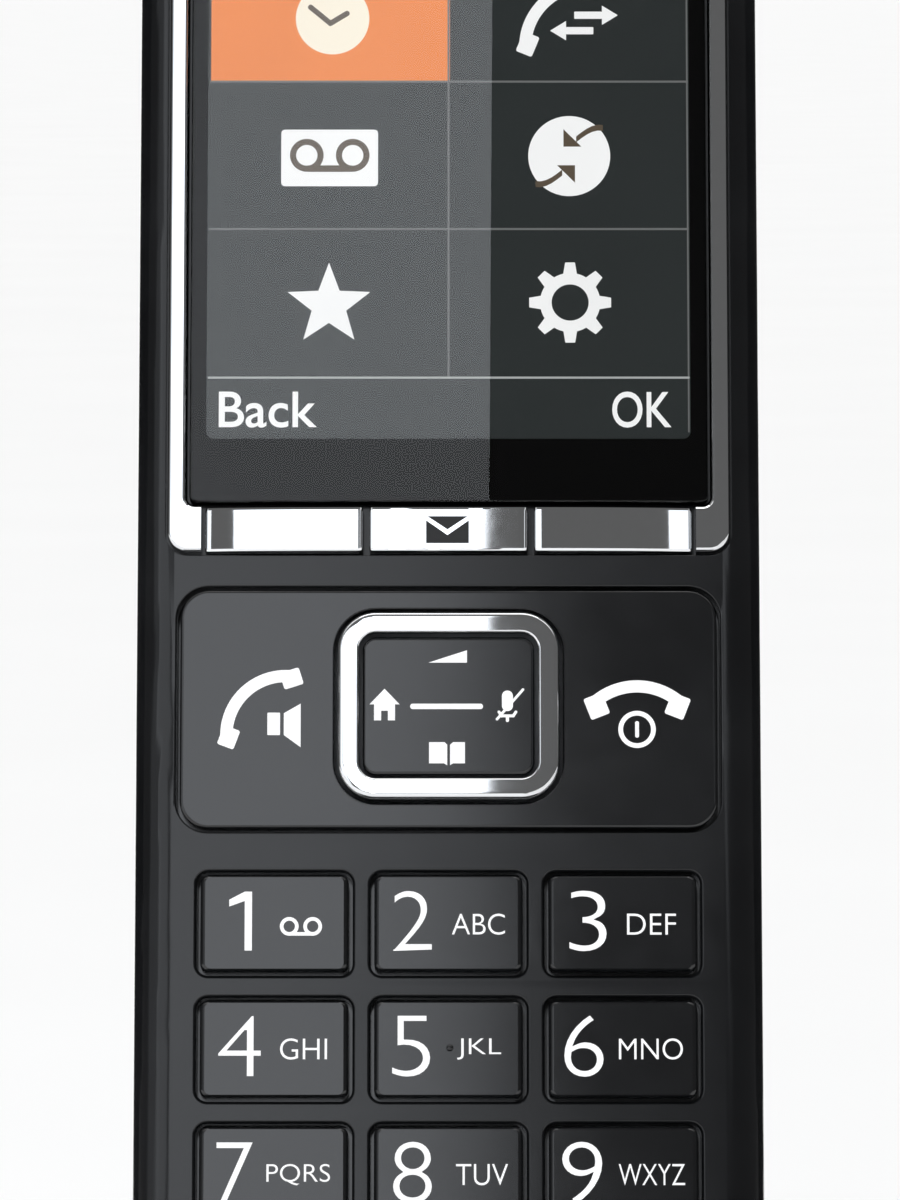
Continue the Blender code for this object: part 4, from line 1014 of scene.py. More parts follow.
class Drawing:
    """Flat shapes for a legend or a picture, raised a little from the handset's face."""

    def __init__(self, bench: Bench, name: str) -> None:
        """Starts an empty drawing."""
        self.bench, self.name = bench, name
        self.shapes: list[list[Loop]] = []
        self.words: list[tuple[str, Point2, Point2, float]] = []

    def shape(self, *loops: Loop) -> "Drawing":
        """Adds a shape whose further loops are holes in the first, and returns the drawing."""
        self.shapes.append(list(loops))
        return self

    def box(self, centre: Point2, size: Point2, radius: float = 0.05, turn: float = 0.0) -> "Drawing":
        """Adds a box.

        Args:
            centre: Its centre.
            size: Its width and height.
            radius: Radius of its corners.
            turn: How far it is turned, in degrees.

        Returns:
            The drawing.
        """
        c, s = math.cos(math.radians(turn)), math.sin(math.radians(turn))
        loop = rounded_box(*size, radius, 5)
        return self.shape([(centre[0] + a * c - b * s, centre[1] + a * s + b * c) for a, b in loop])

    def bar(self, start: Point2, end: Point2, width: float) -> "Drawing":
        """Adds a straight stroke with round ends.

        Args:
            start: Middle of its first end.
            end: Middle of its second end.
            width: Its width.

        Returns:
            The drawing.
        """
        run = Vector(end) - Vector(start)
        middle = (Vector(start) + Vector(end)) / 2
        turn = math.degrees(math.atan2(run.y, run.x))
        return self.box(tuple(middle), (run.length + width, width), width / 2, turn)

    def ring(self, centre: Point2, outer: float, inner: float = 0.0) -> "Drawing":
        """Adds a ring, or a disc where it has no inner radius, and returns the drawing."""
        loops = [[(centre[0] + a, centre[1] + b) for a, b in circle(r, 24)] for r in (outer, inner) if r]
        return self.shape(*loops)

    def receiver(self, start: Point2, end: Point2, rise: float, width: float, pad: Point2) -> "Drawing":
        """Adds a telephone receiver that bows to the left of the line from start to end.

        Args:
            start: Middle of its first pad.
            end: Middle of its second pad.
            rise: How far it bows.
            width: Width of its handle.
            pad: Width and height of each pad.

        Returns:
            The drawing.
        """
        run = Vector(end) - Vector(start)
        along, left = run.normalized(), Vector((-run.y, run.x)).normalized()
        half = run.length / 2
        radius = (half * half + rise * rise) / (2 * rise)
        centre = (Vector(start) + Vector(end)) / 2 + left * (rise - radius)
        reach = math.asin(half / radius)
        turn = [reach * (k / 12 - 1) for k in range(25)]
        band = [(radius + width / 2, t) for t in turn] + [(radius - width / 2, t) for t in reversed(turn)]
        self.shape([tuple(centre + (along * math.sin(t) + left * math.cos(t)) * r) for r, t in band])
        lean = math.degrees(math.atan2(run.y, run.x))
        for spot, tip in ((start, 0.55), (end, -0.55)):
            middle = Vector(spot) - left * (pad[1] / 2 - width * 0.45)
            self.box(tuple(middle), pad, 0.16, lean + math.degrees(reach) * tip)
        return self

    def text(self, words: str, centre: Point2, size: Point2, weight: float = 0.0) -> "Drawing":
        """Adds words, fitted to a size.

        Args:
            words: The words.
            centre: Middle of the words.
            size: Their width and height.
            weight: How much their strokes are thickened, as a share of the letters' height.

        Returns:
            The drawing.
        """
        self.words.append((words, centre, size, weight))
        return self

    @staticmethod
    def _filled(curve: bpy.types.Curve, thickness: float) -> tuple[list[Vector], list[tuple[int, ...]]]:
        """Fills a flat curve and gives it thickness.

        Args:
            curve: The curve, which is used up.
            thickness: Its thickness.

        Returns:
            Its points and its faces.
        """
        curve.dimensions, curve.fill_mode, curve.extrude = "2D", "BOTH", thickness / 2
        obj = bpy.data.objects.new(curve.name, curve)
        bpy.context.scene.collection.objects.link(obj)
        mesh = bpy.data.meshes.new_from_object(obj.evaluated_get(bpy.context.evaluated_depsgraph_get()))
        found = [vertex.co.copy() for vertex in mesh.vertices], [
            tuple(face.vertices) for face in mesh.polygons
        ]
        bpy.data.objects.remove(obj)
        bpy.data.meshes.remove(mesh)
        return found

    def raised(self, back: float, thickness: float) -> Piece:
        """Makes the drawing solid.

        Args:
            back: Depth of its back face, along Y.
            thickness: How far it stands in front of that.

        Returns:
            The piece.
        """
        parts = []
        for loops in self.shapes:
            curve = bpy.data.curves.new(self.name, "CURVE")
            for loop in loops:
                spline = curve.splines.new("POLY")
                spline.points.add(len(loop) - 1)
                for point, (a, b) in zip(spline.points, loop):
                    point.co = (a, b, 0.0, 1.0)
                spline.use_cyclic_u = True
            parts.append(self._filled(curve, thickness))
        for words, centre, size, weight in self.words:
            curve = bpy.data.curves.new(self.name, "FONT")
            curve.body, curve.size, curve.offset, curve.resolution_u = words, 1.0, weight * 0.73, 6
            points, faces = self._filled(curve, thickness)
            for k in range(2):
                low, high = min(point[k] for point in points), max(point[k] for point in points)
                for point in points:
                    point[k] = centre[k] + size[k] * ((point[k] - low) / (high - low) - 0.5)
            parts.append((points, faces))
        all_points: list[Point3] = []
        all_faces: list[tuple[int, ...]] = []
        for points, faces in parts:
            first = len(all_points)
            all_points += [(point.x, back - thickness / 2 - point.z, point.y) for point in points]
            all_faces += [tuple(first + k for k in face) for face in faces]
        return self.bench.solid(self.name, all_points, all_faces)


# ---- The handset's form and the layout of its face ----
HANDSET = LocalFrame((0.0, -6.0, 14.0), math.radians(-15.0))


@dataclass(frozen=True)
class HandsetForm:
    """The outer form that the casings, the battery cover and the base's well share, in mm.

    Attributes:
        back_depth: How far the back stands behind the joint line, over the batteries.
        end_bulge: How far each end bows out in the middle.
        end_inset: How far the ends' corners lie inside the full length.
        foot_thinning: How much thinner the back is at the lower end than over the batteries.
        head_thinning: The same at the upper end.
        cover_top: Height of the battery cover's upper edge.
        cover_length: Length of the battery cover.
    """

    length: float = 156.0
    width: float = 48.5
    front_depth: float = 9.0
    back_depth: float = 17.0
    end_radius: float = 9.0
    end_bulge: float = 1.34
    end_inset: float = 1.5
    front_fillet: float = 3.0
    back_fillet: float = 8.0
    front_wall: float = 2.4
    side_wall: float = 1.8
    foot_thinning: float = 7.0
    head_thinning: float = 6.0
    cover_top: float = 112.0
    cover_length: float = 58.0

    @property
    def face(self) -> float:
        """Depth of the face."""
        return -self.front_depth

    @property
    def inner_face(self) -> float:
        """Depth of the front wall's inner side."""
        return self.face + self.front_wall

    def back_at(self, z: float) -> float:
        """Returns how far the back stands behind the joint line at a height."""
        foot = 1 - smooth_step(z / (self.cover_top - self.cover_length + 6))
        head = smooth_step((z - self.cover_top + 7) / (self.length - self.cover_top + 7))
        return self.back_depth - self.foot_thinning * foot - self.head_thinning * head

    def solid(self, bench: Bench, name: str, side: float = 0.0, front: float = 0.0, steps: int = 8) -> Piece:
        """The closed outer form.

        Args:
            bench: Where it is made.
            name: Its name.
            side: How much it is grown all round.
            front: How much it is grown on its face.
            steps: Steps round the edge of its face.

        Returns:
            The piece.
        """
        length, width = self.length - 2 * self.end_inset + 2 * side, self.width + 2 * side
        deepest = self.back_depth + side
        outline = box_outline(
            width, length, self.end_radius + side, corner_steps=12, side_steps=40, end_steps=6
        )
        faceward = fillet(max(self.front_fillet + side, 0.6), steps, self.face - front, 1)
        backward = fillet(max(self.back_fillet + side, 1.0), steps + 2, deepest, -1)

        def warp(x: float, y: float, z: float) -> Point3:
            """Bows the ends and thins the back."""
            bow = 1 - (2 * x / width) ** 2
            z = self.length / 2 + z + math.copysign(self.end_bulge * bow * abs(2 * z / length) ** 6, z)
            return (x, y * (self.back_at(z) + side) / deepest if y > 0 else y, z)

        return bench.stack(name, outline, faceward + backward[::-1], warp=warp)


@dataclass(frozen=True)
class FaceLayout:
    """Where everything on the handset's face is, in mm."""

    form: HandsetForm = field(default_factory=HandsetForm)
    joint_gap: float = 0.3
    slide_gap: float = 0.3
    hairline: float = 0.2
    key_rows: tuple[tuple[str, ...], ...] = (
        ("star", "0", "hash"), ("7", "8", "9"), ("4", "5", "6"), ("1", "2", "3")
    )
    lowest_row: float = 23.05
    row_pitch: float = 9.69
    column_pitch: float = 13.37
    key_opening: Point2 = (12.0, 8.0)
    key_radius: float = 0.9
    flange: float = 0.6
    flange_reach: float = 0.75
    rocker: Point2 = (41.5, 18.6)
    rocker_centre: float = 68.8
    rocker_radius: float = 2.2
    nav: Point2 = (17.1, 14.6)
    nav_centre: float = 69.0
    nav_radius: float = 2.95
    nav_band: float = 1.62
    bezel: Point2 = (43.65, 62.9)
    bezel_bottom: float = 81.1
    bezel_radius: float = 1.6
    bezel_rise: float = 0.5
    window: Point2 = (40.25, 57.1)
    window_bottom: float = 85.0
    window_recess: float = 1.2
    picture: Point2 = (37.76, 46.7)
    soft_key: Point2 = (12.27, 3.55)
    soft_gap: float = 0.5
    panel: Point2 = (38.75, 51.5)
    panel_bottom: float = 88.0
    earpiece: Point2 = (14.0, 2.4)
    earpiece_z: float = 148.8
    microphone_z: float = 15.4
    case_screw: Point2 = (13.0, 12.0)
    pad_x: float = 8.5
    pad_y: float = -3.2
    pad: Point2 = (5.0, 3.2)

    @property
    def recess(self) -> float:
        """Depth of the floor that the window lies on."""
        return self.form.face + self.window_recess

    @property
    def window_centre(self) -> float:
        """Height of the window's middle."""
        return self.window_bottom + self.window[1] / 2

    @property
    def bezel_centre(self) -> float:
        """Height of the bezel's middle."""
        return self.bezel_bottom + self.bezel[1] / 2

    @property
    def soft_span(self) -> float:
        """Width of the three soft keys together."""
        return 3 * self.soft_key[0] + 2 * self.soft_gap

    @property
    def soft_centre(self) -> float:
        """Height of the soft keys' middle."""
        return self.bezel_bottom + self.soft_key[1] / 2

    @property
    def flange_front(self) -> float:
        """Depth of the front of a key's flange."""
        return self.form.inner_face + self.joint_gap

    @property
    def screw_centres(self) -> list[Point2]:
        """Where the two case screws are."""
        return [(-self.case_screw[0], self.case_screw[1]), self.case_screw]

    def keys(self) -> Iterator[tuple[str, float, float]]:
        """Yields (name, x, z) of the twelve keys, row by row from the lowest."""
        for row, names in enumerate(self.key_rows):
            for column, name in enumerate(names):
                yield name, (column - 1) * self.column_pitch, self.lowest_row + row * self.row_pitch

    def soft_keys(self) -> Iterator[tuple[str, float]]:
        """Yields (name, x) of the three soft keys."""
        pitch = self.soft_key[0] + self.soft_gap
        for column, name in enumerate(("softkey_left", "message_key", "softkey_right")):
            yield name, (column - 1) * pitch


# ---- Sub-assemblies of the handset ----
@dataclass
class HandsetPart:
    """A sub-assembly of the handset.

    Attributes:
        layout: Where everything on the face is.
        bench: Where its meshes are made.
    """

    layout: FaceLayout
    bench: Bench = field(default_factory=lambda: Bench(HANDSET))


@dataclass
class Casings(HandsetPart):
    """The handset's front and back casings and the battery cover.

    Attributes:
        bay: Width and length of the battery bay.
        bay_front: Depth where the bay's tray starts.
        bay_wall: Wall of the tray.
        cover_seat: Depth of the ledge that the cover lies on.
        lip: Radius of the rounded lips round the openings.
    """

    bay: Point2 = (22.4, 50.5)
    bay_front: float = 1.4
    bay_wall: float = 1.4
    cover_seat: float = 14.7
    cover_width: float = 34.5
    ledge_width: float = 2.0
    ledge_thickness: float = 1.5
    tongue_width: float = 3.4
    tongue_reach: float = 1.9
    lip: float = 0.3

    @property
    def cover_centre(self) -> float:
        """Height of the battery cover's middle."""
        return self.layout.form.cover_top - self.layout.form.cover_length / 2

    @property
    def screw_head(self) -> float:
        """Depth of the seats of the case screws' heads."""
        return self.layout.form.back_at(self.layout.case_screw[1]) - 3.4

    def _cavity(self) -> Piece:
        """Returns the space inside the two casings, as a helper."""
        form = self.layout.form
        return form.solid(self.bench, "cavity", -form.side_wall, -form.front_wall, steps=4)

    def _through(self, name: str, outline: Outline, centres: Sequence[Point2], lip: float = 0.0) -> Piece:
        """Makes a cutter through the front wall.

        Args:
            name: Its name.
            outline: The opening's outline.
            centres: Where the openings are.
            lip: Radius of their lips, or none.

        Returns:
            The cutter.
        """
        form = self.layout.form
        deep = form.inner_face + 1.5
        profile = mouth(form.face, deep, lip) if lip else [(form.face - 4, 0.0), (deep, 0.0)]
        return self.bench.stack(name, outline, profile, centres=centres)

    def build_front(self) -> None:
        """Builds and dresses the front casing, with an opening for everything on its face."""
        lay, form, bench, gap = self.layout, self.layout.form, self.bench, self.layout.joint_gap
        shell = form.solid(bench, "front_casing")
        far = 3 * form.back_depth
        back_half = bench.block(
            "cut_back", (-form.width, form.width), (-gap / 2, far), (-20, form.length + 20)
        )
        bosses = bench.stack(
            "bosses", round_outline(2.7), [(form.inner_face - 0.6, 0), (-gap, 0)], centres=lay.screw_centres
        )
        threads = bench.stack(
            "threads", round_outline(1.5), [(form.inner_face + 1.2, 0), (2, 0)], centres=lay.screw_centres
        )
        fine = lay.hairline
        recess = bench.stack(
            "cut_recess", grown_box(lay.bezel, fine, lay.bezel_radius + fine),
            mouth(form.face, lay.recess, 0.12), centres=[(0, lay.bezel_centre)]
        )
        stem = lay.soft_key[1] / 4 - lay.slide_gap
        cutters = [
            recess,
            self._through(
                "cut_panel", grown_box(lay.panel, gap, 0.5), [(0, lay.panel_bottom + lay.panel[1] / 2)]
            ),
            self._through(
                "cut_stems", grown_box(lay.soft_key, -stem, 0.4),
                [(x, lay.soft_centre) for _, x in lay.soft_keys()]
            ),
            self._through(
                "cut_rocker", grown_box(lay.rocker, gap, lay.rocker_radius + gap), [(0, lay.rocker_centre)],
                0.15
            ),
            self._through(
                "cut_keys", box_outline(*lay.key_opening, lay.key_radius), [(x, z) for _, x, z in lay.keys()],
                self.lip
            ),
            self._through(
                "cut_earpiece", grown_box(lay.earpiece, gap, lay.earpiece[1]), [(0, lay.earpiece_z)], self.lip
            ),
            self._through("cut_microphone", box_outline(2.4, 0.9, 0.45), [(0, lay.microphone_z)], 0.2),
            bench.stack(
                "cut_pads", grown_box(lay.pad, gap, 0.5), [(-3, 0), (form.side_wall - 0.4, 0)],
                plane=Plane.FLOOR, centres=[(x, lay.pad_y) for x in (-lay.pad_x, lay.pad_x)]
            )
        ]
        shell.cut(self._cavity(), back_half).join(bosses).cut(threads, *cutters)
        shell.dress(CASING, "handset", "front_shell")

    def build_back(self) -> None:
        """Builds and dresses the back casing, with the battery bay, sound slots and screw wells."""
        lay, form, bench, gap = self.layout, self.layout.form, self.bench, self.layout.joint_gap
        shell = form.solid(bench, "back_casing")
        ledge_front, far = self.cover_seat - self.ledge_thickness, 3 * form.back_depth
        centre = [(0, self.cover_centre)]
        front_half = bench.block(
            "cut_front", (-form.width, form.width), (-far, gap / 2), (-20, form.length + 20)
        )
        ledge = bench.stack(
            "ledge",
            box_outline(self.cover_width + 2 * self.ledge_width, form.cover_length + 3 * self.ledge_width, 3),
            [(ledge_front, 0), (self.cover_seat + 0.5, 0)], centres=centre
        )
        tray = bench.stack(
            "tray", grown_box(self.bay, self.bay_wall, 1), [(self.bay_front, 0), (ledge_front + 0.7, 0)],
            centres=centre
        )
        bosses = bench.stack(
            "bosses", round_outline(3.2), [(gap, 0), (form.back_at(lay.case_screw[1]) - 0.9, 0)],
            centres=lay.screw_centres
        )
        channel_top = form.cover_top + self.tongue_reach + 0.6
        channel_bottom = self.cover_centre + self.bay[1] / 2 - 0.5
        cutters = [
            bench.stack(
                "cut_cover", box_outline(self.cover_width + 2 * gap, form.cover_length + 2 * gap, 2 + gap),
                [(self.cover_seat, 0), (far, 0)], centres=centre
            ),
            bench.stack(
                "cut_bay", box_outline(*self.bay, 0.6), [(self.bay_front + self.bay_wall, 0), (far, 0)],
                centres=centre
            ),
            bench.stack(
                "cut_channels", box_outline(self.tongue_width + 2 * gap, channel_top - channel_bottom, 0.1),
                [(ledge_front - 0.4, 0), (self.cover_seat, 0)],
                centres=[(x, (channel_top + channel_bottom) / 2) for x in self._tongues()]
            ),
            bench.stack(
                "cut_sound", box_outline(12, 1.3, 0.6), [(self.bay_front, 0), (far, 0)],
                centres=[(0, form.length - 29 + 3 * k) for k in range(-2, 3)]
            ),
            bench.stack(
                "cut_heads", round_outline(2.5), [(self.screw_head, 0), (far, 0)], centres=lay.screw_centres
            ),
            bench.stack("cut_shanks", round_outline(1.5), [(-2, 0), (far, 0)], centres=lay.screw_centres)
        ]
        shell.cut(self._cavity(), front_half).join(ledge, tray, bosses).cut(*cutters)
        shell.dress(CASING, "handset", "back_shell")

    def _tongues(self) -> Point2:
        """Returns where the cover's two tongues are, along X."""
        return (-self.bay[0] / 3, self.bay[0] / 3)

    def build_cover(self) -> None:
        """Builds and dresses the battery cover, with its tongues, latch, nail notch and finger ridges."""
        form, bench = self.layout.form, self.bench
        bottom = self.cover_centre - form.cover_length / 2
        inner = self.cover_seat + self.layout.joint_gap
        cover = bench.stack(
            "battery_lid", box_outline(self.cover_width, form.cover_length, 2, side_steps=20),
            [(inner, 0), (2 * form.back_depth, 0)], centres=[(0, self.cover_centre)]
        )
        notch = bench.stack(
            "cut_notch", round_outline(4.0), [(form.back_depth - 0.9, 0), (2 * form.back_depth, 0)],
            centres=[(0, bottom - 1.4)]
        )
        ridges = bench.stack(
            "cut_ridges", box_outline(9, 0.5, 0.25), [(form.back_depth - 0.25, 0), (2 * form.back_depth, 0)],
            centres=[(0, bottom + 5.0 + 1.5 * k) for k in range(4)]
        )
        cover.keep_within(form.solid(bench, "form")).merge_flats().round_edges(0.22, 2, 50).cut(notch, ridges)
        front = self.cover_seat - self.ledge_thickness + 0.25
        tip, root = form.cover_top + self.tongue_reach, self.cover_centre + self.bay[1] / 2 + 0.4
        hook = [
            (front, tip), (front + 1.0, tip), (front + 1.0, form.cover_top - 0.4),
            (inner + 0.8, form.cover_top - 0.4), (inner + 0.8, root), (front, root)
        ]
        half = self.tongue_width / 2
        tongues = bench.strip("tongues", hook, [(x - half, x + half) for x in self._tongues()])
        latch_foot = self.cover_centre - self.bay[1] / 2 + 0.4
        latch = bench.block("latch", (-4, 4), (inner - 2.4, inner + 0.8), (latch_foot, latch_foot + 1.1))
        cover.join(tongues, latch)
        cover.dress(CASING, "battery_cover", "battery_cover")

    def build_screws(self) -> None:
        """Builds the two case screws, with cross recesses in their heads."""
        form, head = self.layout.form, self.screw_head + 0.25
        for side, (x, z) in zip(("left", "right"), self.layout.screw_centres):
            screw = self.bench.stack(
                "case_screw_head_" + side,
                round_outline(2.1),
                [(head + 1.8, 0.35), (head + 1.65, 0.1), (head + 1.4, 0), (head, 0), (head, 0.95)]
                + [(form.inner_face + 1.6, 0.95)],
                centres=[(x, z)],
            )
            for size in ((2.4, 0.55), (0.55, 2.4)):
                profile = [(head + 0.9, 0.12), (head + 4, 0)]
                screw.cut(self.bench.stack("cut_cross", box_outline(*size, 0.1), profile, centres=[(x, z)]))
            screw.dress(SCREW_STEEL, "handset", "case_screw_" + side)

    def build(self) -> None:
        """Builds the casings, the cover and their screws."""
        self.build_front()
        self.build_back()
        self.build_cover()
        self.build_screws()


@dataclass
class Display(HandsetPart):
    """The chrome surround, the window, the picture behind it and the three soft keys in its foot.

    Attributes:
        crown: How much the soft keys' faces fall away towards the row's two ends.
        line: Width of the picture's thin lines.
        picture_bottom: Height of the picture's lower edge.
    """

    crown: float = 4.1e-6
    line: float = 0.16
    picture_bottom: float = 90.2
    rows: tuple[float, ...] = (95.08, 106.96, 118.82, 130.5)

    def build_surround(self) -> None:
        """Builds the chrome surround, open at its foot for the soft keys."""
        lay, form = self.layout, self.layout.form
        front = form.face - lay.bezel_rise
        surround = self.bench.stack(
            "display_surround", box_outline(*lay.bezel, lay.bezel_radius, corner_steps=10),
            fillet(0.38, 6, front, 1, start=12) + [(lay.recess - 0.15, 0)], centres=[(0, lay.bezel_centre)]
        )
        fine = lay.hairline
        slope = [(front - 0.3, -0.62), (front, -0.34), (front + 0.10, -0.20), (front + 0.35, -0.04)]
        opening = self.bench.stack(
            "cut_window", grown_box(lay.window, fine, 0.6), slope + [(front + 0.5, 0), (lay.recess + 2, 0)],
            centres=[(0, lay.window_centre)]
        )
        half = lay.soft_span / 2 + lay.slide_gap
        notch = self.bench.block(
            "cut_notch", (-half, half), (form.face - 4, lay.recess + 2),
            (lay.bezel_bottom - 3, lay.window_bottom + 0.5)
        )
        surround.cut(opening, notch).dress(CHROME, "handset", "display_bezel")

    def build_window(self) -> None:
        """Builds the window, clear over the picture and printed black round it."""
        lay, form = self.layout, self.layout.form
        front, back = form.face - 0.25, lay.recess - 0.2
        steps = {"corner_steps": 8}
        centre = lay.window_centre
        picture_centre = self.picture_bottom + lay.picture[1] / 2

        def loop(width: float, length: float, radius: float, middle: float, depth: float) -> list[Point3]:
            """Returns one loop of the window, at a depth."""
            return [(a, depth, middle + b) for a, b in rounded_box(width, length, radius, **steps)]

        width, length = lay.window
        sides = [(0.15, front), (0.06, front + 0.03), (0.0, front + 0.12), (0.0, back)]
        loops = [loop(width - 2 * i, length - 2 * i, 0.5, centre, depth) for i, depth in sides]
        loops.append(loop(*lay.picture, 0.6, picture_centre, back))
        half_a, half_b = lay.picture[0] / 2, lay.picture[1] / 2

        def printed(middle: Vector, normal: Vector) -> bool:
            """Tells the printed faces: the sides, and the back outside the picture."""
            if middle.y < front + 0.1:
                return False
            inside = abs(middle.x) < half_a and abs(middle.z - picture_centre) < half_b
            return not (inside and middle.y > back - 0.01)

        window = self.bench.loft("display_glass", loops)
        window.dress(WINDOW, "handset", "display_window", paint=[(WINDOW_BLACK, printed)])

    def _lay(self, drawing: Drawing, finish: Finish, layer: int) -> None:
        """Fixes a part of the picture in its layer, 0 at the back.

        Args:
            drawing: The drawing.
            finish: How it glows.
            layer: Its layer.
        """
        drawing.raised(self.layout.recess + 0.08 - 0.04 * layer, 0.025).dress(finish, "handset")

    def build_picture(self) -> None:
        """Builds the menu picture: six cells, their symbols, and the two words over the soft keys."""
        bench, wide = self.bench, self.layout.picture[0]
        tall, middle = self.layout.picture[1], self.picture_bottom + self.layout.picture[1] / 2
        top, left, right = self.picture_bottom + tall, -18.7, 18.74
        self._lay(
            Drawing(bench, "picture_cells").box((0, middle), (wide + 0.6, tall + 0.6), 0.8), PICTURE_DARK, 0
        )
        lit = Drawing(bench, "picture_lit_cell")
        lit.box(((left + 0.02) / 2 + 0.06, (self.rows[2] + self.rows[3]) / 2), (18.78, 11.5), 0.05)
        self._lay(lit, PICTURE_ORANGE, 1)
        lines = Drawing(bench, "picture_lines")
        lines.bar((0.0, self.rows[0]), (0.0, self.rows[3]), self.line)
        lines.bar((right, self.picture_bottom + 0.6), (right, self.rows[3]), self.line * 0.75)
        for z in self.rows[1:]:
            lines.bar((left, z), (right, z), self.line)
        self._lay(lines, PICTURE_LINE, 2)
        bright = Drawing(bench, "picture_bright_lines")
        for z in self.rows[:1]:
            bright.bar((left, z), (right, z), self.line)
        self._lay(bright, PICTURE_BRIGHT_LINE, 3)
        self._lay(self._symbols(top), PICTURE_WHITE, 4)
        self._lay(Drawing(bench, "picture_clock").ring((-9.13, 123.9), 2.9), PICTURE_CREAM, 4)
        self._lay(self._marks(), PICTURE_MARK, 5)

    def _symbols(self, top: float) -> Drawing:
        """Draws the white symbols and words.

        Args:
            top: Height of the picture's upper edge.

        Returns:
            The drawing.
        """
        found = Drawing(self.bench, "picture_symbols")
        found.receiver((6.05, 122.0), (10.5, 126.6), 1.15, 0.95, (1.7, 1.35))
        for tip, tail, z in ((13.33, 9.9, 124.17), (8.0, 11.4, 122.92)):
            head = tip - math.copysign(1.25, tip - tail)
            found.box(((tail + head) / 2, z), (abs(head - tail), 0.58), 0.05)
            found.shape([(tip, z), (head, z + 0.78), (head, z - 0.78)])
        found.box((-9.33, 112.65), (7.6, 4.55), 0.3)
        found.ring((9.47, 112.8), 3.22)
        star = [(math.radians(90 + 36 * k), (3.4, 1.42)[k % 2]) for k in range(10)]
        found.shape([(-9.35 + r * math.cos(t), 100.85 + r * math.sin(t)) for t, r in star])
        found.ring((9.51, 101.06), 2.36, 1.45)
        for k in range(8):
            t = math.radians(45 * k)
            c, s = math.cos(t), math.sin(t)
            tooth = [(2.2, -0.55), (3.2, -0.38), (3.2, 0.38), (2.2, 0.55)]
            found.shape([(9.51 + a * c - b * s, 101.06 + a * s + b * c) for a, b in tooth])
        found.text("Back", (-14.09, 92.53), (7.65, 2.86), 0.012)
        found.text("OK", (15.07, 92.53), (4.61, 2.86), 0.012)
        for k in range(4):
            found.box((-16.6 + 1.1 * k, 132.2 + 0.35 * k), (0.7, 0.9 + 0.7 * k), 0.05)
        found.shape(
            rounded_box_at((15.6, top - 3.4), (4.2, 2.1), 0.3),
            rounded_box_at((15.6, top - 3.4), (3.5, 1.4), 0.1)
        )
        found.box((18.0, top - 3.4), (0.4, 0.9), 0.1)
        found.box((15.2, top - 3.4), (2.2, 0.9), 0.05)
        return found

    def _marks(self) -> Drawing:
        """Draws the dark marks on the white symbols."""
        found = Drawing(self.bench, "picture_marks")
        found.bar((-9.3, 123.5), (-10.85, 124.8), 0.42).bar((-9.3, 123.5), (-8.0, 124.3), 0.42)
        for x in (-11.12, -7.52):
            found.ring((x, 112.85), 1.32, 0.84)
        found.box((-9.32, 111.78), (3.6, 0.52), 0.1)
        for sign in (1, -1):
            curve = [(0.55 + 0.42 * k, 1.35 + 0.95 * math.sin(k * 0.36)) for k in range(6)]
            band = [(a, b + 0.22) for a, b in curve] + [(a, b - 0.25) for a, b in reversed(curve)]
            head = [(-0.45, 0.75), (-0.45, 2.15), (0.95, 0.75)]
            for loop in (band, head):
                found.shape([(9.47 + sign * a, 112.8 + sign * b) for a, b in loop])
        return found

    def build_soft_keys(self) -> None:
        """Builds the three soft keys, whose faces fall away towards the row's ends, and the envelope."""
        lay, form = self.layout, self.layout.form
        front, back = form.face - lay.bezel_rise, lay.recess - 0.55
        width, tall = lay.soft_key
        for name, x in lay.soft_keys():
            stations = [(0.0, 0.22), (0.06, 0.09), (0.16, 0.02), (0.28, 0.0)]
            stations += [(0.28 + (width - 0.56) * k / 24, 0.0) for k in range(1, 24)]
            stations += [(width - at, inset) for at, inset in reversed(stations[:4])]
            loops = []
            for at, inset in stations:
                here = x - width / 2 + at
                face = front + self.crown * here**4 + inset
                section = [
                    (back, -tall / 2 + inset), (face + 0.25, -tall / 2 + inset),
                    (face + 0.07, -tall / 2 + inset + 0.07), (face, -tall / 2 + inset + 0.25),
                    (face, tall / 2 - inset - 0.25), (face + 0.07, tall / 2 - inset - 0.07),
                    (face + 0.25, tall / 2 - inset), (back, tall / 2 - inset)
                ]
                loops.append([(here, y, lay.soft_centre + z) for y, z in section])
            cap = self.bench.loft(name + "_cap", loops)
            stem = self.bench.stack(
                "stem", box_outline(width - tall / 2, tall / 2, 0.3),
                [(back - 0.2, 0), (form.inner_face + 0.6, 0)], centres=[(x, lay.soft_centre)]
            )
            cap.join(stem).dress(CHROME, name, name)
        envelope = Drawing(self.bench, "envelope")
        centre_x, centre_z, half_w, half_h = -0.08, lay.soft_centre - 0.08, 1.66, 1.06
        flap = 0.42
        envelope.shape(
            [
                (a + centre_x, b + centre_z) for a,
                b in ((-half_w, half_h - 0.32), (-half_w, -half_h), (half_w, -half_h))
            ]
            + [(a + centre_x, b + centre_z) for a, b in ((half_w, half_h - 0.32), (0.0, -flap))]
        )
        envelope.shape(
            [
                (a + centre_x, b + centre_z) for a,
                b in ((-half_w + 0.1, half_h), (half_w - 0.1, half_h), (0.0, 0.02))
            ]
        )
        envelope.raised(front + 0.01, 0.035).dress(ENVELOPE_PRINT, "message_key")

    def build(self) -> None:
        """Builds the whole display."""
        self.build_surround()
        self.build_window()
        self.build_picture()
        self.build_soft_keys()


def rounded_box_at(centre: Point2, size: Point2, radius: float) -> Loop:
    """Returns a rounded box about a centre."""
    return [(a + centre[0], b + centre[1]) for a, b in rounded_box(*size, radius, 4)]


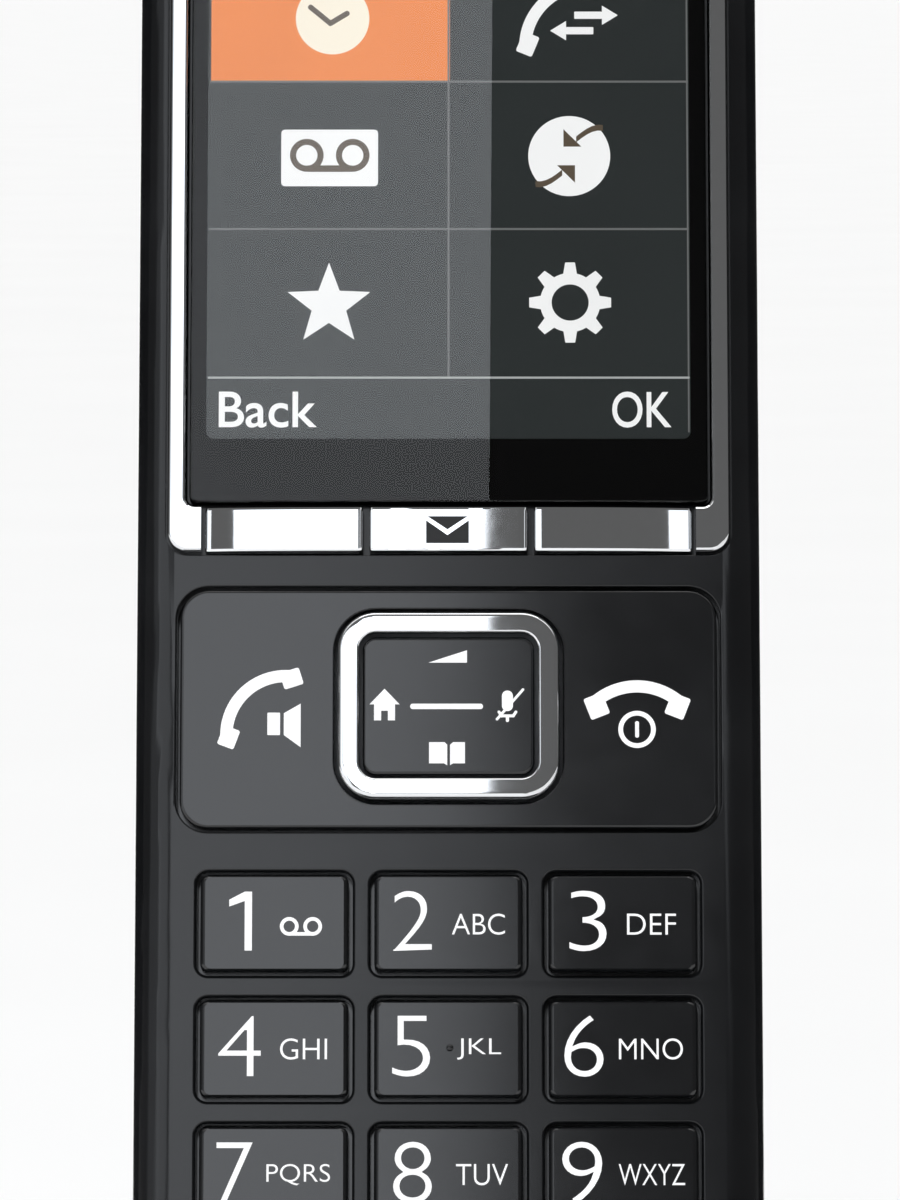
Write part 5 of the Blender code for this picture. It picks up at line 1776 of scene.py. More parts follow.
@dataclass
class CallKeys(HandsetPart):
    """The call and end plate, which tips about its middle, and the navigation key in its opening."""

    swing: float = 0.5
    tilt_room: float = 0.8

    def build_plate(self) -> None:
        """Builds the call and end plate and its legends."""
        lay, form = self.layout, self.layout.form
        back = form.inner_face + self.swing + 0.1
        reach = lay.slide_gap - lay.flange_reach
        plate = self.bench.stack(
            "call_end_plate", box_outline(*lay.rocker, lay.rocker_radius, corner_steps=12),
            fillet(0.28, 6, form.face - 0.15, 1) + [(back, 0), (back, reach), (back + lay.flange, reach)],
            centres=[(0, lay.rocker_centre)]
        )
        hole = self.bench.stack(
            "cut_nav", box_outline(*lay.nav, lay.nav_radius, corner_steps=12),
            [(depth, inset - lay.slide_gap) for depth, inset in mouth(form.face - 0.15, 0, 0.15)],
            centres=[(0, lay.nav_centre)]
        )
        plate.cut(hole).dress(KEY_CAPS, "call_end_rocker", "call_end_rocker")
        legend = Drawing(self.bench, "call_end_legend")
        legend.receiver((-17.15, 66.75), (-12.3, 71.35), 1.45, 0.95, (1.55, 1.35))
        legend.box((-13.5, 67.62), (0.98, 1.75), 0.06)
        legend.shape([(-12.72, 66.75), (-11.42, 65.8), (-11.42, 69.2), (-12.72, 68.45)])
        legend.receiver((11.45, 69.45), (17.7, 69.45), 1.1, 0.95, (1.55, 1.75))
        legend.ring((14.56, 67.19), 1.45, 1.08).bar((14.56, 66.7), (14.56, 67.68), 0.3)
        legend.raised(form.face - 0.14, 0.035).dress(LEGEND_PAINTED_GLOW, "call_end_rocker")

    def build_nav(self) -> None:
        """Builds the chrome ring and the pad inside it, with the pad's legends."""
        lay, form, centre = self.layout, self.layout.form, [(0, self.layout.nav_centre)]
        back = form.inner_face - self.tilt_room
        outline = box_outline(*lay.nav, lay.nav_radius, corner_steps=14)
        crest = form.face - 0.9
        ring = self.bench.stack(
            "navigation_ring", outline,
            [
                (crest, 0.46), (crest + 0.02, 0.34), (crest + 0.07, 0.2), (crest + 0.17, 0.08),
                (crest + 0.35, 0)
            ] + [(back, 0)],
            centres=centre
        )
        hole = self.bench.stack(
            "cut_pad", outline, [(depth, inset + lay.nav_band) for depth, inset in mouth(crest, 0, 0.22)],
            centres=centre
        )
        ring.cut(hole).dress(CHROME, "nav_ring", "nav_ring")
        inset = lay.nav_band + lay.slide_gap
        pad_front = form.face - 0.45
        pad = self.bench.stack(
            "navigation_pad", outline,
            [
                (depth, inset + step) for depth, step in fillet(0.3, 6, pad_front, 1, start=10)
            ] + [(back, inset)],
            centres=centre
        )
        pad.dress(KEY_CAPS, "nav_pad", "nav_pad")
        legend = Drawing(self.bench, "navigation_legend")
        legend.shape([(-1.55, 72.36), (1.43, 72.36), (1.43, 73.33)])
        legend.bar((-2.75, 68.94), (2.45, 68.94), 0.42)
        legend.shape([(-6.1, 69.1), (-4.94, 70.32), (-3.78, 69.1)])
        legend.shape(
            [(-5.75, 67.85), (-5.75, 69.1), (-4.13, 69.1), (-4.13, 67.85), (-4.68, 67.85), (-4.68, 68.6)]
            + [(-5.2, 68.6), (-5.2, 67.85)]
        )
        legend.bar((4.55, 69.75), (4.55, 69.0), 0.85).bar((3.9, 68.5), (4.1, 68.2), 0.22)
        legend.bar((4.1, 68.2), (5.0, 68.2), 0.22).bar((5.0, 68.2), (5.2, 68.5), 0.22)
        legend.bar((3.75, 67.95), (5.75, 70.25), 0.2).bar((4.55, 68.1), (4.55, 67.85), 0.25)
        legend.shape(
            [(-1.5, 64.5), (-1.5, 66.15), (-0.3, 66.15), (-0.1, 65.95), (-0.1, 64.35), (-0.35, 64.5)]
        )
        legend.shape([(1.27, 64.5), (1.27, 66.15), (0.35, 66.15), (0.12, 65.95), (0.12, 64.35), (0.35, 64.5)])
        legend.raised(pad_front + 0.01, 0.035).dress(LEGEND_PAINTED_GLOW, "nav_pad")

    def build(self) -> None:
        """Builds the plate and the navigation key."""
        self.build_plate()
        self.build_nav()


@dataclass(frozen=True)
class KeyLegend:
    """What a key says: a digit, and letters beside it.

    Attributes:
        digit: The digit or sign.
        digit_at: Its middle, from the key's middle.
        digit_size: Its width and height.
        letters: The letters, if it has them.
        letters_at: Their middle, from the key's middle.
        letters_width: Their width.
    """

    digit: str
    digit_at: Point2
    digit_size: Point2
    letters: str = ""
    letters_at: Point2 = (0.0, 0.0)
    letters_width: float = 0.0


@dataclass
class Keypad(HandsetPart):
    """The twelve keys, each a cap with rolled shoulders over a flange, and its legend.

    Attributes:
        rise: How far a cap stands out of the casing.
        shoulder: Width and depth of the roll from a cap's face to its sides.
        letter_height: Height of the letters.
    """

    rise: float = 0.5
    shoulder: Point2 = (0.55, 0.55)
    letter_height: float = 1.62
    legends: dict[str, KeyLegend] = field(
        default_factory=lambda: {
            "1": KeyLegend("1", (-2.60, 0.14), (1.75, 4.55)),
            "2": KeyLegend("2", (-2.76, 0.15), (2.95, 4.62), "ABC", (2.30, -0.10), 4.07),
            "3": KeyLegend("3", (-2.66, 0.15), (2.85, 4.66), "DEF", (2.22, -0.10), 3.76),
            "4": KeyLegend("4", (-2.63, 0.2), (3.25, 4.6), "GHI", (2.27, -0.02), 3.60),
            "5": KeyLegend("5", (-2.86, 0.2), (2.90, 4.66), "JKL", (2.34, -0.02), 3.37),
            "6": KeyLegend("6", (-3.00, 0.2), (3.00, 4.7), "MNO", (2.13, -0.02), 4.90),
            "7": KeyLegend("7", (-2.97, 0.22), (2.75, 4.58), "PQRS", (1.90, 0.05), 4.86),
            "8": KeyLegend("8", (-2.75, 0.22), (2.95, 4.68), "TUV", (2.56, 0.05), 3.97),
            "9": KeyLegend("9", (-3.16, 0.22), (3.05, 4.68), "WXYZ", (2.16, 0.05), 5.06),
            "star": KeyLegend("*", (0.0, 0.1), (3.0, 3.0)), "0": KeyLegend("0", (0.0, 0.2), (3.0, 4.68)),
            "hash": KeyLegend("#", (0.0, 0.2), (3.6, 4.4))
        }
    )

    def _cap(self, name: str, x: float, z: float) -> None:
        """Builds one cap.

        Args:
            name: The key's name.
            x: Its middle.
            z: Its height.
        """
        lay, form = self.layout, self.layout.form
        front, (width, depth) = form.face - self.rise, self.shoulder
        tall, gap = lay.flange_front + lay.flange, lay.slide_gap
        reach = gap - lay.flange_reach
        turn = [math.radians(18 + 72 * k / 7) for k in range(8)]
        lead = 1 - math.cos(turn[0])
        roll = [(front + depth * (1 - math.cos(t) - lead), width * (1 - math.sin(t))) for t in turn]
        outline = box_outline(
            lay.key_opening[0] - 2 * gap, lay.key_opening[1] - 2 * gap, lay.key_radius - gap, aspect=0.45
        )
        flange_front = [(lay.flange_front, 0.0), (lay.flange_front, reach), (tall, reach)]
        cap = self.bench.stack("digit_key_" + name, outline, roll + flange_front, centres=[(x, z)])
        cap.dress(KEY_CAPS, "key_" + name, "key_" + name)

    def _legend(self, name: str, x: float, z: float) -> None:
        """Builds one key's legend.

        Args:
            name: The key's name.
            x: Its middle.
            z: Its height.
        """
        said, drawing = self.legends[name], Drawing(self.bench, "digit_legend_" + name)
        a, b = x + said.digit_at[0], z + said.digit_at[1]
        width, height = said.digit_size
        if said.digit == "1":
            right, top, stroke = a + width / 2, b + height / 2, 0.56
            drawing.shape(
                [
                    (right - stroke, b - height / 2), (right, b - height / 2), (right, top),
                    (right - stroke, top)
                ]
            )
            drawing.shape(
                [(right - stroke, top), (right - stroke, top - 0.72), (a - width / 2, top - 1.15)]
                + [(a - width / 2, top - 0.62)]
            )
            for middle in (-0.9, 0.9):
                drawing.ring((x + 2.04 + middle, z - 0.27), 0.72, 0.44)
            drawing.box((x + 2.04, z - 0.85), (1.8, 0.27), 0.05)
        elif said.digit == "*":
            for k in range(3):
                t = math.radians(90 + 60 * k)
                c, s = math.cos(t) * width / 2, math.sin(t) * width / 2
                drawing.bar((a - c, b - s), (a + c, b + s), 0.5)
        else:
            drawing.text(said.digit, (a, b), (width, height), -0.022)
        if said.letters:
            spot = (x + said.letters_at[0], z + said.letters_at[1])
            drawing.text(said.letters, spot, (said.letters_width, self.letter_height), -0.012)
        drawing.raised(self.layout.form.face - self.rise + 0.01, 0.035).dress(LEGEND_PAINTED_GLOW, "key_" + name)

    def build(self) -> None:
        """Builds the twelve keys, their legends and the raised dot on the middle key."""
        for name, x, z in self.layout.keys():
            self._cap(name, x, z)
            self._legend(name, x, z)
        x, z = next((x, z) for name, x, z in self.layout.keys() if name == "5")
        front = self.layout.form.face - self.rise
        profile = [(front + 0.02, 0.0), (front - 0.06, 0.03), (front - 0.14, 0.1), (front - 0.18, 0.2)]
        dot = self.bench.stack(
            "finding_dot", round_outline(0.28, 10), profile, centres=[(x + 0.11, z + 0.06)]
        )
        dot.dress(KEY_CAPS, "key_5")


@dataclass
class SmallParts(HandsetPart):
    """What shows in the handset's openings: the grille, the charge pads and the cells."""

    cell: Point2 = (10.5, 44.5)
    cell_x: float = 5.6
    cell_y: float = 8.4
    cell_middle: float = 83.0

    def build_grille(self) -> None:
        """Builds the earpiece grille, with three rows of holes."""
        lay, form = self.layout, self.layout.form
        width, tall = lay.earpiece
        grille = self.bench.stack(
            "earpiece_mesh", box_outline(width, tall, tall / 2, corner_steps=10),
            [(form.face + 0.35, 0.08), (form.face + 0.43, 0), (form.inner_face - 0.1, 0)],
            centres=[(0, lay.earpiece_z)]
        )
        centres = []
        for row in (-1, 0, 1):
            for k in range(14 if row else 15):
                x = -5.6 + 0.8 * k + (0.4 if row else 0.0)
                if abs(x) < 6.3 - 0.5 * abs(row):
                    centres.append((x, lay.earpiece_z + 0.68 * row))
        holes = self.bench.stack(
            "cut_holes", round_outline(0.24, 8), [(form.face - 1, 0), (0, 0)], centres=centres
        )
        grille.cut(holes).dress(GRILLE_STEEL, "handset", "earpiece_grille")

    def build_pads(self) -> None:
        """Builds the two charge pads under the handset's lower end."""
        lay = self.layout
        for side, x in (("left", -lay.pad_x), ("right", lay.pad_x)):
            pad = self.bench.stack(
                "charge_plate_" + side, box_outline(*lay.pad, 0.4),
                fillet(0.15, 4, 0.35, 1) + [(lay.form.side_wall - 0.7, 0)], plane=Plane.FLOOR,
                centres=[(x, lay.pad_y)]
            )
            pad.dress(GOLD_PLATE, "handset", "charge_pad_" + side)

    def build_cells(self) -> None:
        """Builds the two cells, end for end, with steel ends and a printed wrap."""
        diameter, length = self.cell
        up_axis = HANDSET.direction((0.0, 0.0, 1.0))
        for side, x, up in (("left", -self.cell_x, 1), ("right", self.cell_x, -1)):
            start = self.cell_middle - up * length / 2
            radius = diameter / 2
            profile = [
                (0.0, 0.9), (0.1, 0.45), (0.35, 0.12), (0.7, 0.0), (length - 2.2, 0.0), (length - 1.7, 0.15)
            ]
            profile += [(length - 1.35, 0.5), (length - 1.2, 1.0), (length - 1.2, radius - 1.9)]
            profile += [(length - 0.25, radius - 1.9), (length - 0.05, radius - 1.75), (length, radius - 1.5)]
            cell = self.bench.stack(
                "cell_" + side, round_outline(radius, 24),
                [(start + up * depth, inset) for depth, inset in profile], plane=Plane.FLOOR,
                centres=[(x, self.cell_y)]
            )
            middle = Vector((x, self.cell_y, self.cell_middle))
            along_world = HANDSET.matrix() @ middle
            at = along_world.dot(Vector(up_axis)) + up * (length / 2 - 9.0)
            axis = tuple(up * part for part in up_axis)
            wrap = CellWrap("cell_wrap_" + side, "cell_wrap", axis, up * at)

            def bare(face: Vector, normal: Vector, middle: Vector = middle) -> bool:
                """Tells the steel ends from the wrap."""
                return abs(normal.z) > 0.6 and (face - middle).xy.length < radius - 0.3

            cell.dress(wrap, "handset", "battery_" + side, paint=[(PRESSED_STEEL, bare)])

    def build(self) -> None:
        """Builds the small parts."""
        self.build_grille()
        self.build_pads()
        self.build_cells()


# ---- The base ----
@dataclass
class Base:
    """The charging base: its housing with the well, plate, page key, sockets, contacts, feet and screws."""

    layout: FaceLayout
    width: float = 88.0
    depth: float = 96.0
    corner: float = 20.0
    rim: float = 6.0
    wall: float = 2.0
    underside: float = 1.0
    plate: float = 2.0
    front_height: float = 13.0
    lip: Point2 = (-16.0, 26.0)
    crest: Point2 = (17.0, 36.0)
    rear_height: float = 21.0
    well_gap: float = 0.7
    well_wall: float = 2.0
    contact: Point2 = (2.4, 5.0)
    contact_height: float = 8.0
    page_key: Point2 = (17.0, 7.0)
    page_key_y: float = -33.0
    page_rise: float = 1.0
    page_flange: float = 1.0
    socket_x: float = 14.0
    socket: Point3 = (13.0, 14.0, 8.6)
    socket_bottom: float = 5.9
    plug_widths: Point2 = (9.8, 7.6)
    plug_height: float = 6.0
    plug_depth: float = 11.0
    foot_radius: float = 5.0
    foot_height: float = 1.7
    foot_at: Point2 = (31.0, 34.0)
    column_radius: float = 3.2
    column_y: float = 2.0
    floor: Bench = field(default_factory=lambda: Bench(LocalFrame()))
    leaning: Bench = field(default_factory=lambda: Bench(HANDSET))

    @property
    def plate_top(self) -> float:
        """Height of the base plate's upper side."""
        return self.underside + self.plate

    @property
    def column_x(self) -> float:
        """Distance of the screw columns from the middle."""
        grown = self.layout.form.width / 2 + self.well_gap + self.well_wall
        return (grown + self.width / 2 - self.wall) / 2

    @property
    def slope(self) -> float:
        """Slope of the front run, up to the well's lip."""
        return (self.lip[1] - self.front_height) / (self.lip[0] + self.depth / 2)

    def top_at(self, y: float) -> float:
        """Returns the height of the base's top line: up to the lip, over the crest, down to the rear."""
        if y < self.lip[0]:
            return self.lip[1] + (y - self.lip[0]) * self.slope
        if y < self.crest[0]:
            return hermite(y, (*self.lip, self.slope), (*self.crest, 0.0))
        return hermite(y, (*self.crest, 0.0), (self.depth / 2, self.rear_height, -0.45))

    def _page_frame(self) -> LocalFrame:
        """Returns the page key's frame, on the sloping front."""
        return LocalFrame((0.0, self.page_key_y, self.top_at(self.page_key_y)), math.atan(self.slope))

    def _form(self, name: str, grow: float, bottom: float, steps: int) -> Piece:
        """The base's outer form under its curved top.

        Args:
            name: Its name.
            grow: How much it is grown all round.
            bottom: Height of its underside.
            steps: Steps round its rim.

        Returns:
            The piece.
        """
        outline = box_outline(
            self.width + 2 * grow, self.depth + 2 * grow, self.corner + grow, corner_steps=16, side_steps=40
        )
        profile: Profile = [(bottom, 0.0)]
        for drop, inset in reversed(fillet(self.rim + grow, steps, 0.0, 1)):
            profile.append((lambda a, b, drop=drop: self.top_at(b) + grow - drop, inset))
        return self.floor.stack(name, outline, profile, Plane.FLOOR)

    def _columns(self, name: str, radius: float, profile: Profile) -> Piece:
        """Returns a solid at each of the two screw columns."""
        centres = [(x, self.column_y) for x in (-self.column_x, self.column_x)]
        return self.floor.stack(name, round_outline(radius), profile, Plane.FLOOR, centres)

    def _page_outline(self) -> Outline:
        """Returns the outline of the page key's opening."""
        return box_outline(*self.page_key, self.page_key[1] / 2, corner_steps=12)

    def build_housing(self) -> None:
        """Builds the housing: a hollow shell with the handset's well let into it."""
        lay, form, gap = self.layout, self.layout.form, self.layout.joint_gap
        grown = self.well_gap + self.well_wall
        housing = self._form("base_shell", 0.0, self.underside, 10)
        hollow = self._form("hollow", -self.wall, -5.0, 5)
        block = form.solid(self.leaning, "well_block", grown, grown, 6)
        well = form.solid(self.leaning, "well", self.well_gap, self.well_gap, 8)
        columns = self._columns(
            "columns", self.column_radius, [(self.plate_top + gap, 0), (2 * self.crest[1], 0)]
        )
        threads = self._columns("threads", 1.5, [(-1, 0), (self.plate_top + 8, 0)])
        slots = self.leaning.stack(
            "cut_contacts", box_outline(self.contact[0] + 1.0, self.contact[1] + 1.0, 0.4),
            [(-grown - 2, 0), (2, 0)], Plane.FLOOR, [(-lay.pad_x, lay.pad_y), (lay.pad_x, lay.pad_y)]
        )
        sockets = self.floor.stack(
            "cut_sockets", box_outline(self.socket[0] + 2 * gap, self.socket[2] + 2 * gap, 0.5),
            [(self.depth / 2 - 3 * self.wall, 0), (self.depth / 2 - 0.25, 0), (self.depth / 2 + 0.2, -0.4)],
            centres=[(x, self.socket_bottom + self.socket[2] / 2) for x in (-self.socket_x, self.socket_x)]
        )
        page = Bench(self._page_frame())
        key_hole = page.stack(
            "cut_page_key", self._page_outline(), mouth(0.0, -self.wall - 3, 0.3), Plane.FLOOR
        )
        hollow.cut(block, columns)
        housing.cut(hollow, well, slots, sockets, key_hole, threads)
        housing.dress(BASE_CASING, "base", "base_housing")

    def build_page_key(self) -> None:
        """Builds the page key, with the ringing-handset symbol on it."""
        gap, bench = self.layout.slide_gap, Bench(self._page_frame())
        under, reach = -self.wall - self.layout.joint_gap, gap - self.page_flange
        roll = [(depth, inset + gap) for depth, inset in fillet(0.55, 7, self.page_rise, -1)]
        flange = [(under, gap), (under, reach), (under - self.page_flange, reach)]
        bench.stack("page_button", self._page_outline(), roll + flange, Plane.FLOOR).dress(
            KEY_CAPS, "page_key", "page_key"
        )
        waves = []
        for radius in (1.1, 1.9, 2.7):
            arc = [math.radians(-42 + 84 * k / 10) for k in range(11)]
            outer = [(radius * math.cos(t) - 0.6, radius * math.sin(t)) for t in arc]
            inner = [
                ((radius - 0.32) * math.cos(t) - 0.6, (radius - 0.32) * math.sin(t)) for t in reversed(arc)
            ]
            waves.append(outer + inner)
        face = LocalFrame(self._page_frame().origin, self._page_frame().lean - math.pi / 2)
        symbol = Drawing(Bench(face), "page_symbol").ring((-0.6, 0.0), 0.42)
        for wave in waves:
            symbol.shape(wave)
        symbol.raised(-self.page_rise + 0.01, 0.035).dress(LEGEND_PAINTED_GLOW, "page_key")

    def build_plate(self) -> None:
        """Builds the base plate, with vents, screw wells and pockets for the feet."""
        inset = self.wall + self.layout.joint_gap
        plate = self.floor.stack(
            "base_cover",
            box_outline(self.width - 2 * inset, self.depth - 2 * inset, self.corner - inset, corner_steps=16),
            [
                (self.underside, 0.25), (self.underside + 0.08, 0.08), (self.underside + 0.25, 0),
                (self.plate_top, 0)
            ],
            Plane.FLOOR
        )
        feet = [
            (x, y) for x in (-self.foot_at[0], self.foot_at[0]) for y in (-self.foot_at[1], self.foot_at[1])
        ]
        cutters = [
            self.floor.stack(
                "cut_feet", round_outline(self.foot_radius + self.layout.joint_gap),
                [(-2, 0), (self.foot_height + 0.2, 0)], Plane.FLOOR, feet
            ),
            self._columns("cut_heads", 2.6, [(-1, 0), (self.underside + 1.0, 0)]),
            self._columns("cut_holes", 1.5, [(-1, 0), (self.plate_top + 1, 0)]),
            self.floor.stack(
                "cut_vents", box_outline(16, 1.6, 0.8), [(-1, 0), (self.plate_top + 1, 0)], Plane.FLOOR,
                [(0, 4 * k - 8) for k in range(5)]
            )
        ]
        plate.cut(*cutters).dress(BASE_CASING, "base", "base_plate")

    def build_feet(self) -> None:
        """Builds the four rubber feet, each with a ring moulded into its sole."""
        high, wide = self.foot_height, self.foot_radius
        for depth, y in (("front", -self.foot_at[1]), ("rear", self.foot_at[1])):
            for side, x in (("left", -self.foot_at[0]), ("right", self.foot_at[0])):
                where = depth + "_" + side
                profile = [(0.0, 0.5), (0.06, 0.2), (0.22, 0.04), (0.45, 0), (high, 0)]
                foot = self.floor.stack(
                    "rubber_foot_" + where, round_outline(wide), profile, Plane.FLOOR, [(x, y)]
                )
                groove = [(-0.5, 1.6), (0.3, 1.6)]
                hollow = self.floor.stack("groove", round_outline(wide), groove, Plane.FLOOR, [(x, y)])
                core = self.floor.stack(
                    "core", round_outline(wide - 2.4), [(-1, 0), (1, 0)], Plane.FLOOR, [(x, y)]
                )
                foot.cut(hollow.cut(core)).dress(FOOT_RUBBER, "base", "foot_" + where)

    def build_screws(self) -> None:
        """Builds the two screws of the base, with cross recesses in their heads."""
        head = self.underside + 0.85
        for side, x in (("left", -self.column_x), ("right", self.column_x)):
            spot = [(x, self.column_y)]
            low = self.underside + 0.15
            screw = self.floor.stack(
                "base_screw_head_" + side, round_outline(2.2),
                [
                    (low, 0.25), (low + 0.12, 0.05), (low + 0.3, 0), (head, 0), (head, 1.0),
                    (self.plate_top + 6, 1.0)
                ],
                Plane.FLOOR, spot
            )
            for size in ((2.4, 0.55), (0.55, 2.4)):
                profile = [(-1, 0), (low + 0.5, 0.1)]
                screw.cut(self.floor.stack("cut_cross", box_outline(*size, 0.1), profile, Plane.FLOOR, spot))
            screw.dress(SCREW_STEEL, "base", "base_screw_" + side)

    def build_socket(self, name: str, x: float, plug_width: float, pins: int) -> None:
        """Builds one socket and the sprung pins in it.

        Args:
            name: Its name in the frame.
            x: Its middle.
            plug_width: Width of the plug that it takes.
            pins: How many pins it has.
        """
        width, deep, tall = self.socket
        low, high, rear = self.socket_bottom, self.socket_bottom + tall, self.depth / 2 - 0.4
        body = self.floor.stack(
            name + "_shell", box_outline(width, tall, 0.4, corner_steps=4),
            [(rear, 0.25), (rear - 0.1, 0.06), (rear - 0.28, 0), (rear - deep, 0)],
            centres=[(x, (low + high) / 2)]
        )
        cavity = self.floor.stack(
            "cut_plug", box_outline(plug_width, self.plug_height, 0.15),
            [(rear + 0.1, -0.3), (rear - 0.2, 0), (rear - self.plug_depth, 0)],
            centres=[(x, low + 0.8 + self.plug_height / 2)]
        )
        half = plug_width / 4
        latch_range = (low + self.plug_height, high - 0.7)
        latch = self.floor.block(
            "cut_latch", (x - half, x + half), (rear - self.plug_depth + 2, rear + 3), latch_range
        )
        body.cut(cavity, latch).dress(SOCKET_PLASTIC, "base", name)
        front, back = rear - 1.6, rear - self.plug_depth + 0.4
        bottom, pitch = low + 0.86, 1.02
        line = [
            (front, bottom), (front - 0.6, bottom + 0.05), (back + 1.0, bottom + 2.1), (back, bottom + 0.2)
        ]
        for k in range(pins):
            middle = x + (k - (pins - 1) / 2) * pitch
            pin = self.floor.bent_sheet(f"{name}_pin_{k + 1}", line, -0.2, (middle - 0.2, middle + 0.2), 0.25)
            pin.dress(GOLD_PLATE, "base")

    def build_contacts(self) -> None:
        """Builds the two sprung charge contacts, each a hoop of plated strip."""
        lay = self.layout
        half, top = self.contact[1] / 2, 0.35 - lay.joint_gap
        foot = top - self.contact_height
        near, far = lay.pad_y - half, lay.pad_y + half
        line = [
            (near, foot), (near, top - 1.2), (near + 1.2, top), (far - 1.2, top), (far, top - 1.2),
            (far, foot)
        ]
        for side, x in (("left", -lay.pad_x), ("right", lay.pad_x)):
            edges = (x - self.contact[0] / 2, x + self.contact[0] / 2)
            hoop = self.leaning.bent_sheet("charge_spring_" + side, line, -0.5, edges, 0.55)
            hoop.dress(GOLD_PLATE, "charge_contact_" + side, "charge_contact_" + side)

    def build(self) -> None:
        """Builds the whole base."""
        self.build_housing()
        self.build_page_key()
        self.build_plate()
        self.build_feet()
        self.build_screws()
        self.build_socket("line_socket", -self.socket_x, self.plug_widths[0], 6)
        self.build_socket("power_socket", self.socket_x, self.plug_widths[1], 4)
        self.build_contacts()


# ---- What keeps its shape from the frame ----
KEPT_SHAPES: dict[str, Finish] = {
    "display_panel": Rubber("panel_back", "display", (0.01, 0.01, 0.011), (0.02, 0.02, 0.022), 0.5),
    "key_mat": SILICONE, "nav_carrier": SILICONE, "main_board": BOARD, "base_board": BOARD,
    "shield_can": PRESSED_STEEL, "antenna": SPRING_METAL, "earpiece_capsule": PRESSED_STEEL,
    "microphone": PRESSED_STEEL, "loudspeaker": PRESSED_STEEL, "cell_contact_left": SPRING_METAL,
    "cell_contact_right": SPRING_METAL, "cell_contact_bridge": SPRING_METAL, "page_switch": SOCKET_PLASTIC
}


def finish_kept_shapes(nodes: dict[str, bpy.types.Object]) -> None:
    """Gives the inner pieces that keep the frame's shape their finishes.

    Args:
        nodes: The frame's pieces by name.
    """
    for name, finish in KEPT_SHAPES.items():
        for slot in nodes[name].material_slots:
            slot.material = finish.material()
        LOG.info("%s: kept, in %s", name, finish.name)


# ---- The studio ----
@dataclass(frozen=True)
class Card:
    """A soft light card, square to its own direction and not seen by the camera itself.

    Attributes:
        name: Its name.
        middle: Its middle, in mm.
        target: What it faces, in mm.
        size: Its width and height, in mm.
        radiance: How bright it is.
        turn: How far it is turned about its own direction, in degrees.
        colour: The colour of its light.
    """

    name: str
    middle: Point3
    target: Point3
    size: Point2
    radiance: float
    turn: float = 0.0
    colour: Colour = (0.93, 0.97, 1.03)

    def place(self) -> None:
        """Puts the card in the scene."""
        light = bpy.data.lights.new(self.name, "AREA")
        light.shape, light.size, light.size_y = "RECTANGLE", self.size[0] * MM, self.size[1] * MM
        light.energy = self.radiance * math.pi * light.size * light.size_y
        light.color = self.colour
        obj = bpy.data.objects.new(self.name, light)
        bpy.context.scene.collection.objects.link(obj)
        aim = (Vector(self.target) - Vector(self.middle)).to_track_quat("-Z", "Y").to_matrix().to_4x4()
        spin = Matrix.Rotation(math.radians(self.turn), 4, "Z")
        obj.matrix_world = Matrix.Translation(Vector(self.middle) * MM) @ aim @ spin
        obj.visible_camera = False


